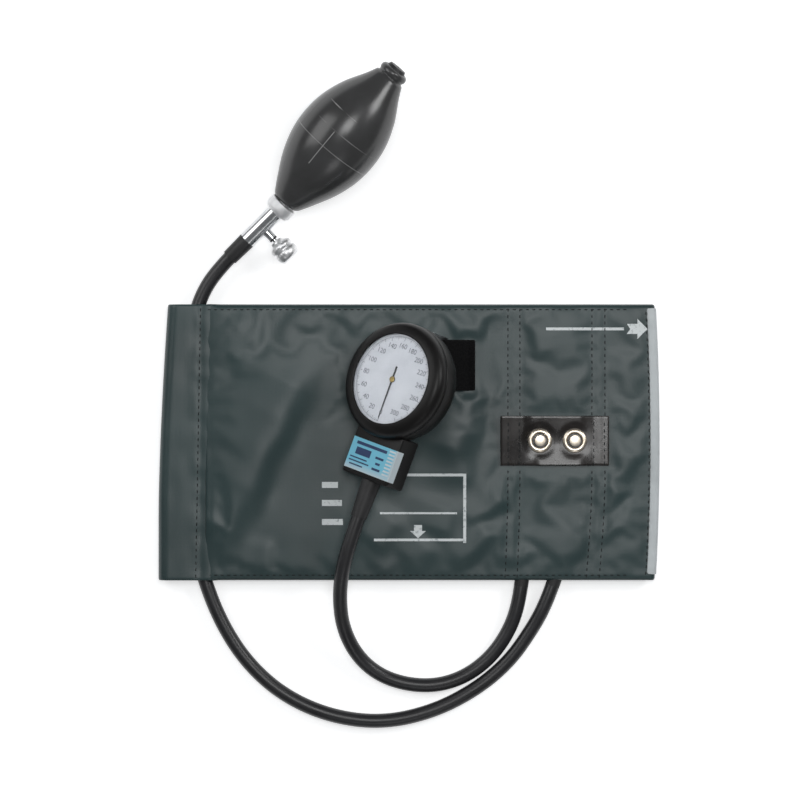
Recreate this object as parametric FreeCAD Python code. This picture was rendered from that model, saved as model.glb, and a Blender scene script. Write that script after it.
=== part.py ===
import FreeCAD
import Part
import math
import os

# Aneroid sphygmomanometer: an arm cuff folded in half, a dial gauge hooked on its strap,
# and a hand bulb with its valve, joined by two rubber hoses.
# Millimetres.  +X runs along the cuff, +Y across it, +Z up.  The origin is on the surface
# that the cuff lies on, under the middle of the folded cuff.

V = FreeCAD.Vector
X_AXIS = V(1, 0, 0)
Y_AXIS = V(0, 1, 0)
Z_AXIS = V(0, 0, 1)

# ---- driving dimensions: cuff -------------------------------------------------------------
fold_x = -124.0            # axis of the fold at the left edge
cuff_right = 131.0         # free end of the bladder half
cuff_width = 145.0
panel_t = 0.8              # outer nylon with its backing
lining_t = 0.6             # inner nylon
wrap_t = 1.6               # doubled nylon of the wrap half
wrap_inset = 1.0           # the wrap half is narrower than the bladder half on each edge
soft_gap = 0.3             # between soft pieces that don't touch hard
pocket_left = -100.0       # end seam of the bladder pocket
hem_t = 0.8
fold_t = 1.4
index_w = 4.2              # pale end strip
index_t = 0.4
bladder_end_gap = 5.0
bladder_side_gap = 10.0
bladder_wall = 1.2
bladder_room = 0.9         # over the bladder, for the backs of the studs
bladder_corner_r = 12.0
neck_bore_r = 2.0
neck_reach = 3.0           # bladder necks stand out of the hem by this much
gauge_neck_x = 61.3
gauge_neck_lean = 8.0      # degrees from +Y, towards +X, on the way in
bulb_neck_x = 78.3
bulb_neck_lean = 20.0
neck_hole_gap = 0.4

# clasp
patch_x = 78.4
patch_y = 0.9
patch_margin = 19.3         # beyond each stud's middle, along the patch
patch_w = 26.0
patch_t = 1.2
stud_pitch = 18.2
stud_x = 79.7
stud_r = 6.25
stud_rim_t = 1.0
stud_base_t = 0.9
stud_rim_h = 1.8
stud_post_r = 2.1
stud_head_r = 3.1
stud_h = 4.4
stud_head_t = 1.5
shank_r = 1.6
shank_gap = 0.1
washer_r = 4.0
washer_t = 0.6
closing_margin = 8.9        # beyond the keyholes' middles, along the patch
closing_w = 28.0
closing_x = 90.0
plate_t = 0.6
plate_margin = 3.0
plate_w = 18.0
plate_lip = 1.5
keyhole_gap = 0.5
keyhole_run = 5.5

# gauge strap
strap_t = 1.2
strap_w = 26.6
strap_y = 40.4
strap_left = -18.0         # hidden under the gauge
strap_lift = -0.5          # where the strap leaves the cuff on the left
strap_top_left = 12.0
strap_top_right = 20.0
strap_land = 33.5          # where it meets the cuff again
strap_right = 36.8
strap_under = 22.4         # the left of its top lies under the middle of the dial by this
strap_crown = 1.0          # more on the right of its top

# ---- driving dimensions: gauge, in its own frame ------------------------------------------
# The gauge's own origin is the middle of its dial face, +Z out of the dial, +Y to 12 o'clock.
gauge_x = -6.2
gauge_y = 32.7
gauge_turn = -20.0         # about the row's Z
gauge_roll = -37.0         # about the gauge's own Y, so that the dial looks to the left
dial_r = 26.9
dial_t = 0.5
dial_hole_r = 1.6
rim_gap = 1.1              # from the dial's edge to the outside of the case's front rim
rim_t = 0.9
rim_h = 1.0
ledge_w = 1.7              # of the ledge under the dial's edge
ledge_t = 2.0
case_flank = 2.6           # from the front rim to the outside of the case
case_taper = 1.2           # of the flank, down to the rounded back
case_inset = 6.6           # of the flat back, in from the flank
case_back_t = 2.0
case_wall = 2.2
case_round = 5.5           # height of the rounded back
room_taper = 1.2
room_gap = 0.5
gasket_w = 2.5
gasket_t = 1.0
lens_t = 1.0
lens_gap = 0.1
fit_gap = 0.1
window_inset = 3.2         # of the bezel's window, in from the dial's edge
bezel_lip_t = 0.75
bezel_bevel = 0.2
bezel_slope_w = 1.2
bezel_shoulder_w = 2.0     # of the steeper flank outside the slope
bezel_shoulder_z = 1.8
bezel_round = 0.4
bezel_round_h = 1.2
bezel_round_z = -2.2
bezel_skirt = 4.6
bezel_land = 1.0
neck_w = 31.0
neck_front = -5.0
neck_l = 22.4              # beyond the round part of the case
neck_fillet = 1.0
label_t = 0.3
label_l = 16.5
label_margin = 2.6         # between the label and the end of the neck
label_wrap = 4.5
stem_z = -12.5
stem_r = 2.2
stem_bore_r = 1.0
stem_wall = 0.4            # of its feed into the capsule
stem_room = 4.8            # between the capsule and the inner end of the stem
barb_l = 8.0
barb_r = 2.1
sleeve_l = 20.0
sleeve_wall = 1.45
sleeve_tip_wall = 0.55

# movement
capsule_r = 13.8
capsule_t = 3.6
capsule_wall = 0.35
capsule_edge_w = 1.2
capsule_edge_h = 0.9
capsule_shoulder_w = 0.9
capsule_shoulder_h = 0.7
capsule_port_r = 1.6
capsule_port_l = 2.0
capsule_mount_r = 3.0
capsule_lift = 0.8         # off the back of the case
groove_places = (4.0, 8.4) # inner radii of the diaphragm's corrugations
groove_w = 2.8
groove_slope = 0.6
groove_depth = 0.4
post_r = 0.8
post_foot_r = 1.2
post_foot_t = 0.25
post_h = 0.4
plate_thick = 0.8
plate_r = 21.0
pillar_r = 1.5
standoff_r = 1.8
pillar_places = ((-17.0, -9.0), (-6.0, 18.3), (18.6, 4.5))
plate_screw_r = 1.9
plate_screw_t = 0.9
screw_slot_w = 0.5
pin_gap = 0.05
arbor_r = 0.6
gear_t = 1.0
gear_top_gap = 1.0         # between the gears and the front plate
gear_low_gap = 3.0         # between the gears and the back plate
gear_module = 0.4
pinion_teeth = 10
sector_ratio = 8
sector_swing = 41.5
sector_margin = 8.0
sector_face = 2.0          # radial depth of the toothed rim
sector_arm_w = 2.4
sector_pivot_x = 8.0
sector_hub_r = 1.6
sector_shaft_r = 0.8
tooth_share = 0.36         # of the pitch, at the pitch line
tip_share = 0.16
tail_l = 3.6
tail_w = 1.2
shaft_out = 0.4            # pivots stand out of their plates by this much
arm_inset = 8.0            # degrees in from the ends of the toothed rim
dedendum = 1.15            # in modules
addendum = 0.8
root_share = 0.1
rim_steps = 16
rocker_x = 5.5
rocker_room = 2.4          # from its axis to the back plate
rocker_r = 0.7
rocker_gap = 0.2           # between its arm and the capsule's post
rocker_end = 0.8           # of its axle beyond the lug
rocker_arm = 5.9
rocker_arm_t = 0.8
rocker_arm_w = 1.8
rocker_finger_w = 0.9
rocker_finger_over = 0.5   # over the gears
rocker_finger_y = -18.9
rocker_lug_w = 3.2
rocker_lug_t = 2.0
rocker_lug_y = 16.0
rocker_lug_low = 0.7
rocker_notch_gap = 0.5
rocker_notch_in = 2.0      # of the notch, inwards of the axle
rocker_notch_out = 6.0
spring_pitch = 0.8
spring_w = 0.3
spring_h = 0.5
spring_turns = 5
spring_low_gap = 1.0       # between the hairspring and the front plate
spring_top_gap = 1.6       # between the hairspring and the dial
spring_in_r = 1.2
pointer_z = 0.25
pointer_t = 0.3
pointer_l = 21.0
pointer_tail = 7.0
pointer_w = 0.9
pointer_tip_w = 0.35
pointer_hub_r = 1.5

# back clip
clip_left = -9.0
clip_right = 0.0
clip_t = 1.2
clip_gap = 10.0            # between the case's back plate and the tongue
clip_low = -4.0
clip_tongue_low = -6.0
clip_over = 6.2            # beyond the flat of the case's back
clip_screw_r = 1.2
clip_screw_head_r = 2.2
clip_screw_head_t = 0.9
clip_screw_places = ((-4.5, 1.0), (-4.5, 14.0))

# ---- driving dimensions: bulb and valve ---------------------------------------------------
# Their own X runs along the bulb, from its neck (0) towards its intake end.
bulb_x = -62.3
bulb_y = 125.4
bulb_heading = 49.6
valve_heading = 44.0
bulb_tilt = 10.0           # the heavy valve end lies lower
bulb_profile = ((0, 7.6), (8, 12.2), (20, 18.2), (32, 21.9), (44, 23.0),
                (56, 21.6), (68, 17.4), (79, 11.2), (85, 8.2))
bulb_wall = 2.6
bulb_neck_l = 8.0
lip_r = 7.1
lip_l = 5.0
lip_step = 0.3
lip_edge = 0.8
intake_bore_r = 4.4
floor_gap = 0.05

plug_r = 4.4
plug_l = 8.0
collar_r = 7.5
collar_l = 6.6
collar_gap = 0.9
collar_edge = 0.5
valve_shoulder = 0.9       # of the valve body, beyond the outside of the hose
valve_l = 28.5
valve_bore_r = 1.5
check_chamber_r = 2.7
check_r = 2.4
check_t = 0.8
check_play = 0.1
check_seat_x = 2.2
release_x = -18.2
release_boss_r = 2.4
release_boss_l = 8.8
release_seat_l = 2.6
needle_r = 1.3
needle_tip_r = 0.5
needle_cone_l = 0.6
needle_seat_gap = 0.1
needle_cover = 2.0         # of the knob, over the end of the needle
knob_r = 6.3
knob_neck_r = 3.4
knob_neck_l = 2.4
knob_end_r = 5.2
knob_end_l = 1.6
knob_stand = 1.2           # between the needle's seal and the knob
knob_l = 11.7
knob_flutes = 18
flute_r = 0.55
knob_gap = 0.05
valve_barb_l = 8.5
valve_sleeve_l = 13.0
valve_sleeve_wall = 0.85
valve_sleeve_tip_wall = 0.55
seal_r = 2.2
seal_t = 0.8

intake_flange_r = 5.5
intake_flange_t = 2.0
intake_flange_taper = 0.8
intake_plug_l = 9.0
intake_hole_r = 1.1
intake_mouth_r = 1.9
intake_lip_t = 1.0
intake_chamber_t = 2.2

# ---- driving dimensions: hoses ------------------------------------------------------------
hose_d = 7.5
hose_gap = 0.05
floor_z = hose_d / 2 + floor_gap

# ---- levels and places worked out from them -----------------------------------------------
half_w = cuff_width / 2
patch_l = stud_pitch + 2 * patch_margin
closing_l = stud_pitch + 2 * closing_margin
lining_z = wrap_t + soft_gap
hose_fold_z = lining_z + hose_d / 2
flap_z = hose_fold_z + hose_d / 2 + soft_gap
panel_z = flap_z + lining_t
cuff_top = panel_z + panel_t
fold_z = cuff_top / 2
bladder_z = lining_z + lining_t + soft_gap
bladder_top = panel_z - bladder_room
neck_z = lining_z + lining_t + floor_gap * 2 + hose_d / 2
strap_mid = cuff_top + strap_t / 2
pinion_pitch_r = gear_module * pinion_teeth / 2
sector_pitch_r = pinion_pitch_r * sector_ratio
gear_centres = pinion_pitch_r + sector_pitch_r
sector_pivot_y = -math.sqrt(gear_centres ** 2 - sector_pivot_x ** 2)
rim_r = dial_r + rim_gap
case_r = rim_r + case_flank
case_mid_r = case_r - case_taper
case_back_r = case_r - case_inset
ledge_r = dial_r - ledge_w
gasket_r = dial_r - gasket_w
window_r = dial_r - window_inset
neck_end = -(case_r + neck_l)
label_bottom = neck_end + label_margin
label_top = label_bottom + label_l
clip_top = case_back_r + clip_over
stem_in = -(capsule_r + stem_room)
sleeve_r = hose_d / 2 + sleeve_wall
sleeve_tip_r = hose_d / 2 + sleeve_tip_wall
valve_sleeve_r = hose_d / 2 + valve_sleeve_wall
valve_sleeve_tip_r = hose_d / 2 + valve_sleeve_tip_wall
valve_r = hose_d / 2 + valve_shoulder
knob_start = release_boss_l + seal_t + knob_stand

# The movement hangs below the dial, and the case is as deep as the movement needs.
spring_z = -(dial_t + spring_top_gap + spring_h)
front_plate_z = spring_z - spring_low_gap - plate_thick
gear_z = front_plate_z - gear_top_gap - gear_t
back_plate_z = gear_z - gear_low_gap - plate_thick
rocker_z = back_plate_z - rocker_room
rocker_finger_top = gear_z + gear_t + rocker_finger_over
capsule_top = rocker_z - rocker_arm_t / 2 - rocker_gap - post_h
capsule_z = capsule_top - capsule_t
inner_back = capsule_z - capsule_lift
case_depth = case_back_t - inner_back
lens_z = gasket_t
bezel_z = lens_z + lens_t + fit_gap


# ---- shape helpers ------------------------------------------------------------------------
def block(x0, y0, z0, x1, y1, z1):
    return Part.makeBox(x1 - x0, y1 - y0, z1 - z0, V(x0, y0, z0))


def rod(radius, length, base, axis=Z_AXIS):
    return Part.makeCylinder(radius, length, V(*base), axis)


def cone(r0, r1, length, base, axis=Z_AXIS):
    return Part.makeCone(r0, r1, length, V(*base), axis)


def turned(outline, axis=Z_AXIS):
    """Revolve (radius, height) corners about the axis, which is Z or X."""
    if axis == Z_AXIS:
        corners = [V(r, 0, h) for r, h in outline]
    else:
        corners = [V(h, r, 0) for r, h in outline]
    face = Part.Face(Part.makePolygon(corners + corners[:1]))
    return face.revolve(V(0, 0, 0), axis, 360)


def ring(r_out, r_in, length, base, axis=Z_AXIS):
    return rod(r_out, length, base, axis).cut(rod(r_in, length, base, axis))


def plate_from(corners, z, thickness):
    points = [V(x, y, z) for x, y in corners]
    face = Part.Face(Part.makePolygon(points + points[:1]))
    return face.extrude(V(0, 0, thickness))


def band(route, thickness, y0, y1):
    """A flat strap of the given thickness along a route in X and Z, from y0 to y1."""
    upper = []
    lower = []
    for i, (x, z) in enumerate(route):
        ways = []
        for a, b in ((i - 1, i), (i, i + 1)):
            if 0 <= a and b < len(route):
                way = V(route[b][0] - route[a][0], 0, route[b][1] - route[a][1])
                ways.append(way.normalize())
        middle = sum(ways, V(0, 0, 0)).normalize()
        side = V(-middle.z, 0, middle.x)
        reach = thickness / 2 / abs(middle.dot(ways[0]))
        upper.append(V(x, y0, z) + side * reach)
        lower.append(V(x, y0, z) - side * reach)
    corners = upper + lower[::-1]
    face = Part.Face(Part.makePolygon(corners + corners[:1]))
    return face.extrude(V(0, y1 - y0, 0))


def polar(radius, degrees, x=0.0, y=0.0):
    return (x + radius * math.cos(math.radians(degrees)),
            y + radius * math.sin(math.radians(degrees)))


def moved(shape, place):
    return shape.transformed(place.toMatrix(), True)


def group(shapes):
    return Part.makeCompound(shapes)


parts = {}


# ---- cuff ---------------------------------------------------------------------------------
def cuff_panels():
    outer = block(fold_x, -half_w, panel_z, cuff_right, half_w, cuff_top)
    for x in stud_places():
        outer = outer.cut(rod(shank_r + shank_gap, panel_t, (x, patch_y, panel_z)))
    parts["cuff_outer_panel"] = outer

    # the lining closes the bladder pocket, rises at its end seam and covers the hose channel
    floor = block(pocket_left, -half_w + hem_t, lining_z, cuff_right - hem_t, half_w - hem_t,
                  lining_z + lining_t)
    seam = block(pocket_left, -half_w + hem_t, lining_z, pocket_left + lining_t,
                 half_w - hem_t, panel_z)
    flap = block(fold_x, -half_w, flap_z, pocket_left + lining_t, half_w, panel_z)
    parts["cuff_inner_panel"] = floor.fuse(seam).fuse(flap).removeSplitter()


def bladder_necks():
    """The mouth of each neck, outside the hem, and its way into the bladder."""
    necks = []
    for x, lean in ((gauge_neck_x, gauge_neck_lean), (bulb_neck_x, bulb_neck_lean)):
        slant = math.radians(lean)
        way = V(math.sin(slant), math.cos(slant), 0)
        necks.append((V(x, -half_w, neck_z) - way * neck_reach, way))
    return necks


def cuff_hems():
    def hem(y0):
        return block(pocket_left + lining_t, y0, lining_z, cuff_right - hem_t, y0 + hem_t,
                     panel_z)

    parts["top_hem"] = hem(half_w - hem_t)
    bottom = hem(-half_w)
    for mouth, way in bladder_necks():
        bottom = bottom.cut(rod(hose_d / 2 + neck_hole_gap, 4 * neck_reach,
                                mouth - way * neck_reach, way))
    parts["bottom_hem"] = bottom

    end = block(cuff_right - hem_t, -half_w, lining_z, cuff_right, half_w, panel_z)
    face = block(cuff_right - index_w, -half_w, cuff_top, cuff_right + index_t, half_w,
                 cuff_top + index_t)
    edge = block(cuff_right, -half_w, lining_z, cuff_right + index_t, half_w, cuff_top)
    parts["end_hem"] = end
    parts["index_strip"] = face.fuse(edge).removeSplitter()


def cuff_fold():
    outer_r = fold_z - floor_gap * 3
    tube = ring(outer_r, outer_r - fold_t, cuff_width, (fold_x, -half_w, fold_z), Y_AXIS)
    half = block(fold_x - 2 * outer_r, -half_w, fold_z - 2 * outer_r,
                 fold_x, half_w, fold_z + 2 * outer_r)
    parts["cuff_fold"] = tube.common(half)


def wrap_half():
    wide = half_w - wrap_inset
    parts["wrap_panel"] = block(fold_x + soft_gap, -wide, 0, closing_x, wide, wrap_t)

    # two layers of coated fabric with a window hold the keyhole plate
    low_z = (wrap_t - plate_t) / 2
    half_c = closing_w / 2
    half_p = plate_w / 2
    x0 = closing_x + plate_margin
    x1 = closing_x + closing_l - plate_margin
    patch = block(closing_x, patch_y - half_c, 0, closing_x + closing_l, patch_y + half_c,
                  wrap_t)
    seat = block(x0, patch_y - half_p, low_z, x1, patch_y + half_p, low_z + plate_t)
    window = block(x0 + plate_lip, patch_y - half_p + plate_lip, 0,
                   x1 - plate_lip, patch_y + half_p - plate_lip, wrap_t)
    parts["closing_patch"] = patch.cut(seat).cut(window)

    plate = seat
    middle = (x0 + x1) / 2 - keyhole_run / 2
    for side in (-1, 1):
        x = middle + side * stud_pitch / 2
        eye = rod(stud_head_r + keyhole_gap, plate_t, (x, patch_y, low_z))
        slot_r = stud_post_r + keyhole_gap / 2
        slot = block(x, patch_y - slot_r, low_z, x + keyhole_run, patch_y + slot_r,
                     low_z + plate_t)
        slot_end = rod(slot_r, plate_t, (x + keyhole_run, patch_y, low_z))
        plate = plate.cut(eye.fuse(slot).fuse(slot_end))
    parts["keyhole_plate"] = plate


def rounded_block(x0, x1, half_y, z0, z1, corner_r):
    body = block(x0, -half_y, z0, x1, half_y, z1)
    upright = [e for e in body.Edges if abs(e.Length - (z1 - z0)) < 1e-6]
    return body.makeFillet(corner_r, upright)


def bladder():
    x0 = pocket_left + lining_t + bladder_end_gap
    x1 = cuff_right - hem_t - bladder_end_gap
    half_y = half_w - bladder_side_gap
    wall = bladder_wall
    bag = rounded_block(x0, x1, half_y, bladder_z, bladder_top, bladder_corner_r)
    inside = rounded_block(x0 + wall, x1 - wall, half_y - wall, bladder_z + wall,
                           bladder_top - wall, bladder_corner_r - wall)
    bores = inside
    for mouth, way in bladder_necks():
        length = (-half_y - mouth.y) / way.y + wall
        bag = bag.fuse(rod(hose_d / 2, length, mouth, way))
        bores = bores.fuse(rod(neck_bore_r, length + 2 * wall, mouth, way))
    parts["bladder"] = bag.cut(bores)


def stud_places():
    return [stud_x - stud_pitch / 2, stud_x + stud_pitch / 2]


def clasp():
    patch = block(patch_x - patch_l / 2, patch_y - patch_w / 2, cuff_top,
                  patch_x + patch_l / 2, patch_y + patch_w / 2, cuff_top + patch_t)
    studs = []
    washers = []
    washer_z = panel_z - washer_t
    base_z = cuff_top + patch_t
    for x in stud_places():
        patch = patch.cut(rod(shank_r + shank_gap, patch_t, (x, patch_y, cuff_top)))
        stud = turned([(0, washer_z), (shank_r, washer_z), (shank_r, base_z),
                       (stud_r, base_z), (stud_r, base_z + stud_rim_h),
                       (stud_r - stud_rim_t, base_z + stud_rim_h),
                       (stud_r - stud_rim_t - stud_base_t / 2, base_z + stud_base_t),
                       (stud_post_r, base_z + stud_base_t),
                       (stud_post_r, base_z + stud_h - stud_head_t),
                       (stud_head_r, base_z + stud_h - stud_head_t),
                       (stud_head_r, base_z + stud_h - stud_head_t / 2),
                       (stud_head_r - stud_head_t / 2, base_z + stud_h),
                       (0, base_z + stud_h)])
        stud.translate(V(x, patch_y, 0))
        studs.append(stud)
        washers.append(ring(washer_r, shank_r + shank_gap, washer_t,
                            (x, patch_y, washer_z)))
    parts["clasp_patch"] = patch
    parts["clasp_studs"] = group(studs)
    parts["stud_washers"] = group(washers)


def gauge_strap(gauge_middle):
    """The strap's loop stands as high as the clip that hooks on it."""
    top = gauge_middle.z - strap_under
    route = [(strap_left, strap_mid), (strap_lift, strap_mid), (strap_top_left, top),
             (strap_top_right, top + strap_crown), (strap_land, strap_mid),
             (strap_right, strap_mid)]
    parts["gauge_strap"] = band(route, strap_t, strap_y - strap_w / 2,
                                strap_y + strap_w / 2)


# ---- gauge, in its own frame --------------------------------------------------------------
gauge_parts = {}


def gauge_case():
    back = -case_depth
    body = turned([(0, back), (case_back_r, back), (case_mid_r, back + case_round),
                   (case_r, back + 2 * case_round), (case_r, -bezel_skirt - fit_gap),
                   (rim_r, -bezel_skirt - fit_gap), (rim_r, rim_h), (0, rim_h)])
    half_n = neck_w / 2
    neck = block(-half_n, neck_end, back, half_n, -case_back_r, neck_front)
    along = [e for e in neck.Edges if abs(e.Length - (-case_back_r - neck_end)) < 1e-6]
    neck = neck.makeFillet(neck_fillet, along)
    body = body.fuse(neck)
    room = case_r - case_wall - 2 * room_gap
    ledge_z = -ledge_t - dial_t
    hollow = turned([(0, inner_back), (case_back_r - room_gap, inner_back),
                     (room - room_taper, inner_back + case_round - 2 * room_gap),
                     (room, ledge_z - case_round / 2), (room, ledge_z), (ledge_r, ledge_z),
                     (ledge_r, -dial_t), (rim_r - rim_t, -dial_t), (rim_r - rim_t, rim_h),
                     (0, rim_h)])
    body = body.cut(hollow)
    body = body.cut(rod(stem_r + pin_gap, -neck_end, (0, neck_end, stem_z), Y_AXIS))
    for x, y in clip_screw_places:
        body = body.cut(rod(clip_screw_r + pin_gap, case_back_t, (x, y, back)))
    gauge_parts["gauge_case"] = body


def gauge_front():
    tip = bezel_z + bezel_lip_t
    gauge_parts["gauge_bezel"] = turned([
        (window_r, bezel_z), (window_r, tip - bezel_bevel), (window_r + bezel_slope_w, tip),
        (case_r - bezel_shoulder_w, bezel_shoulder_z),
        (case_r - bezel_round, bezel_round_z + bezel_round_h), (case_r, bezel_round_z),
        (case_r, -bezel_skirt), (rim_r + fit_gap, -bezel_skirt),
        (rim_r + fit_gap, bezel_z - bezel_land), (dial_r, bezel_z)])
    gauge_parts["gauge_lens"] = rod(dial_r - lens_gap, lens_t, (0, 0, lens_z))
    gauge_parts["lens_gasket"] = ring(dial_r, gasket_r, gasket_t, (0, 0, 0))
    gauge_parts["gauge_dial"] = ring(dial_r, dial_hole_r, dial_t, (0, 0, -dial_t))


def neck_label():
    half_n = neck_w / 2
    face = block(-half_n + neck_fillet, label_bottom, neck_front,
                 half_n + label_t, label_top, neck_front + label_t)
    flank = block(half_n, label_bottom, neck_front - label_wrap,
                  half_n + label_t, label_top, neck_front)
    gauge_parts["neck_label"] = face.fuse(flank).removeSplitter()


def gauge_stem():
    stem = rod(stem_r, stem_in - neck_end, (0, neck_end, stem_z), Y_AXIS)
    barb = rod(barb_r, barb_l, (0, neck_end - barb_l, stem_z), Y_AXIS)
    feed_z = capsule_z + capsule_t / 2
    feed_r = stem_bore_r + stem_wall
    drop = rod(feed_r, stem_z - feed_z, (0, stem_in, feed_z))
    feed = rod(feed_r, -capsule_r - stem_in, (0, stem_in, feed_z), Y_AXIS)
    elbow = rod(feed_r, 2 * feed_r, (0, stem_in, feed_z - feed_r))
    stem = stem.fuse(barb).fuse(drop).fuse(feed).fuse(elbow)
    bore = rod(stem_bore_r, stem_in - neck_end + barb_l, (0, neck_end - barb_l, stem_z),
               Y_AXIS)
    bore = bore.fuse(rod(stem_bore_r, stem_z - feed_z, (0, stem_in, feed_z)))
    bore = bore.fuse(rod(stem_bore_r, -capsule_r - stem_in, (0, stem_in, feed_z), Y_AXIS))
    gauge_parts["pressure_stem"] = stem.cut(bore)
    sleeve = cone(sleeve_tip_r, sleeve_r, sleeve_l, (0, neck_end - sleeve_l, stem_z), Y_AXIS)
    gauge_parts["gauge_hose_sleeve"] = sleeve.cut(
        rod(hose_d / 2 + hose_gap, sleeve_l, (0, neck_end - sleeve_l, stem_z), Y_AXIS))


def capsule():
    wall = capsule_wall
    mid = capsule_z + capsule_t / 2
    edge_z = capsule_z + capsule_edge_h
    flat_r = capsule_r - capsule_edge_w
    base = turned([(0, capsule_z), (flat_r, capsule_z), (capsule_r, edge_z),
                   (capsule_r, mid - fit_gap), (capsule_r - wall, mid - fit_gap),
                   (capsule_r - wall, edge_z + wall / 2),
                   (flat_r - wall / 2, capsule_z + wall), (0, capsule_z + wall)])
    port = rod(capsule_port_r, capsule_port_l,
               (0, -capsule_r - capsule_port_l / 2, mid), Y_AXIS)
    mount = rod(capsule_mount_r, capsule_z - inner_back, (0, 0, inner_back))
    gauge_parts["capsule_base"] = base.cut(port).fuse(mount)
    # the upper diaphragm is corrugated, and its middle lifts a small post
    top = capsule_top
    shoulder_z = top - capsule_shoulder_h
    outline = [(0, top)]
    for start in groove_places:
        end = start + groove_w
        outline += [(start, top), (start + groove_slope, top - groove_depth),
                    (end - groove_slope, top - groove_depth), (end, top)]
    outline += [(capsule_r - capsule_shoulder_w, top), (capsule_r, shoulder_z),
                (capsule_r, mid + fit_gap), (capsule_r - wall, mid + fit_gap),
                (capsule_r - wall, shoulder_z - wall), (0, top - groove_depth - wall)]
    gauge_parts["capsule_diaphragm"] = turned(outline).cut(port)
    gauge_parts["capsule_post"] = turned([(0, top), (post_foot_r, top),
                                          (post_foot_r, top + post_foot_t),
                                          (post_r, top + post_foot_t),
                                          (post_r, top + post_h), (0, top + post_h)])


def movement_frame():
    pivot = (sector_pivot_x, sector_pivot_y)
    back = rod(plate_r, plate_thick, (0, 0, back_plate_z))
    front = rod(plate_r, plate_thick, (0, 0, front_plate_z))
    notch_y = rocker_finger_y + rocker_finger_w / 2 + rocker_notch_gap
    notch = block(rocker_x - rocker_notch_in, -plate_r - 1, back_plate_z,
                  rocker_x + rocker_notch_out, notch_y, back_plate_z + plate_thick)
    back = back.cut(notch)
    for x, y, r in ((0, 0, arbor_r), (pivot[0], pivot[1], sector_shaft_r)):
        hole = rod(r + pin_gap, 2 * case_depth, (x, y, -case_depth))
        back = back.cut(hole)
        front = front.cut(hole)
    lug_h = back_plate_z - rocker_z + rocker_r + rocker_lug_low
    for y in (-rocker_lug_y, rocker_lug_y - rocker_lug_t):
        lug = block(rocker_x - rocker_lug_w / 2, y, back_plate_z - lug_h,
                    rocker_x + rocker_lug_w / 2, y + rocker_lug_t, back_plate_z)
        back = back.fuse(lug)
    back = back.cut(rod(rocker_r + pin_gap, 2 * case_r, (rocker_x, -case_r, rocker_z),
                        Y_AXIS))
    gauge_parts["movement_back_plate"] = back
    gauge_parts["movement_front_plate"] = front

    pillars = []
    screws = []
    low = back_plate_z + plate_thick
    for x, y in pillar_places:
        pillars.append(rod(standoff_r, back_plate_z - inner_back, (x, y, inner_back)))
        pillars.append(rod(pillar_r, front_plate_z - low, (x, y, low)))
        screw = rod(plate_screw_r, plate_screw_t, (x, y, front_plate_z + plate_thick))
        slot_z = front_plate_z + plate_thick + plate_screw_t / 2
        slot = block(x - plate_screw_r, y - screw_slot_w / 2, slot_z,
                     x + plate_screw_r, y + screw_slot_w / 2, slot_z + plate_screw_t)
        screws.append(screw.cut(slot))
    gauge_parts["movement_pillars"] = group(pillars)
    gauge_parts["plate_screws"] = group(screws)


def tooth_outline(pitch_r, tooth_count, first, last, turn):
    """Corners of straight-sided teeth from the first to the last, round a pitch circle."""
    pitch = 360 / tooth_count
    root = pitch_r - gear_module * dedendum
    tip = pitch_r + gear_module * addendum
    corners = []
    for i in range(first, last + 1):
        middle = turn + i * pitch
        for r, share in ((root, -tooth_share - root_share), (tip, -tip_share),
                         (tip, tip_share), (root, tooth_share + root_share)):
            corners.append(polar(r, middle + share * pitch / 2))
    return corners


def gears():
    mesh = math.degrees(math.atan2(-sector_pivot_y, -sector_pivot_x))
    pitch = 360 / pinion_teeth
    # a gap of the pinion faces the sector's tooth on the line of centres
    turn = mesh + 180 + pitch / 2
    outline = tooth_outline(pinion_pitch_r, pinion_teeth, 0, pinion_teeth - 1, turn)
    pinion = plate_from(outline, gear_z, gear_t)
    shaft = rod(arbor_r, pointer_z + pointer_t - back_plate_z, (0, 0, back_plate_z))
    gauge_parts["pointer_arbor"] = pinion.fuse(shaft)

    teeth = pinion_teeth * sector_ratio
    step = 360 / teeth
    above = round(sector_margin / step)
    below = round((sector_swing + sector_margin) / step)
    outline = tooth_outline(sector_pitch_r, teeth, -below, above, mesh)
    inner_r = sector_pitch_r - gear_module - sector_face
    first = mesh - (below + 0.5) * step
    last = mesh + (above + 0.5) * step
    inner = [polar(inner_r, last + (first - last) * i / rim_steps)
             for i in range(rim_steps + 1)]
    rim = plate_from(outline + inner, gear_z, gear_t)
    arm_r = inner_r + sector_face / 2
    half = sector_arm_w / 2
    body = rod(sector_hub_r, gear_t, (0, 0, gear_z))
    for angle in (first + arm_inset, last - arm_inset):
        arm = block(0, -half, gear_z, arm_r, half, gear_z + gear_t)
        arm.rotate(V(0, 0, 0), Z_AXIS, angle)
        body = body.fuse(arm)
    tail = block(0, -tail_w / 2, gear_z, tail_l, tail_w / 2, gear_z + gear_t)
    tail.rotate(V(0, 0, 0), Z_AXIS, -90 - sector_swing / 2)
    body = body.fuse(tail).fuse(rim)
    shaft_low = back_plate_z - shaft_out
    shaft_top = front_plate_z + plate_thick + shaft_out
    body = body.fuse(rod(sector_shaft_r, shaft_top - shaft_low, (0, 0, shaft_low)))
    body.translate(V(sector_pivot_x, sector_pivot_y, 0))
    gauge_parts["sector_gear"] = body


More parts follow.
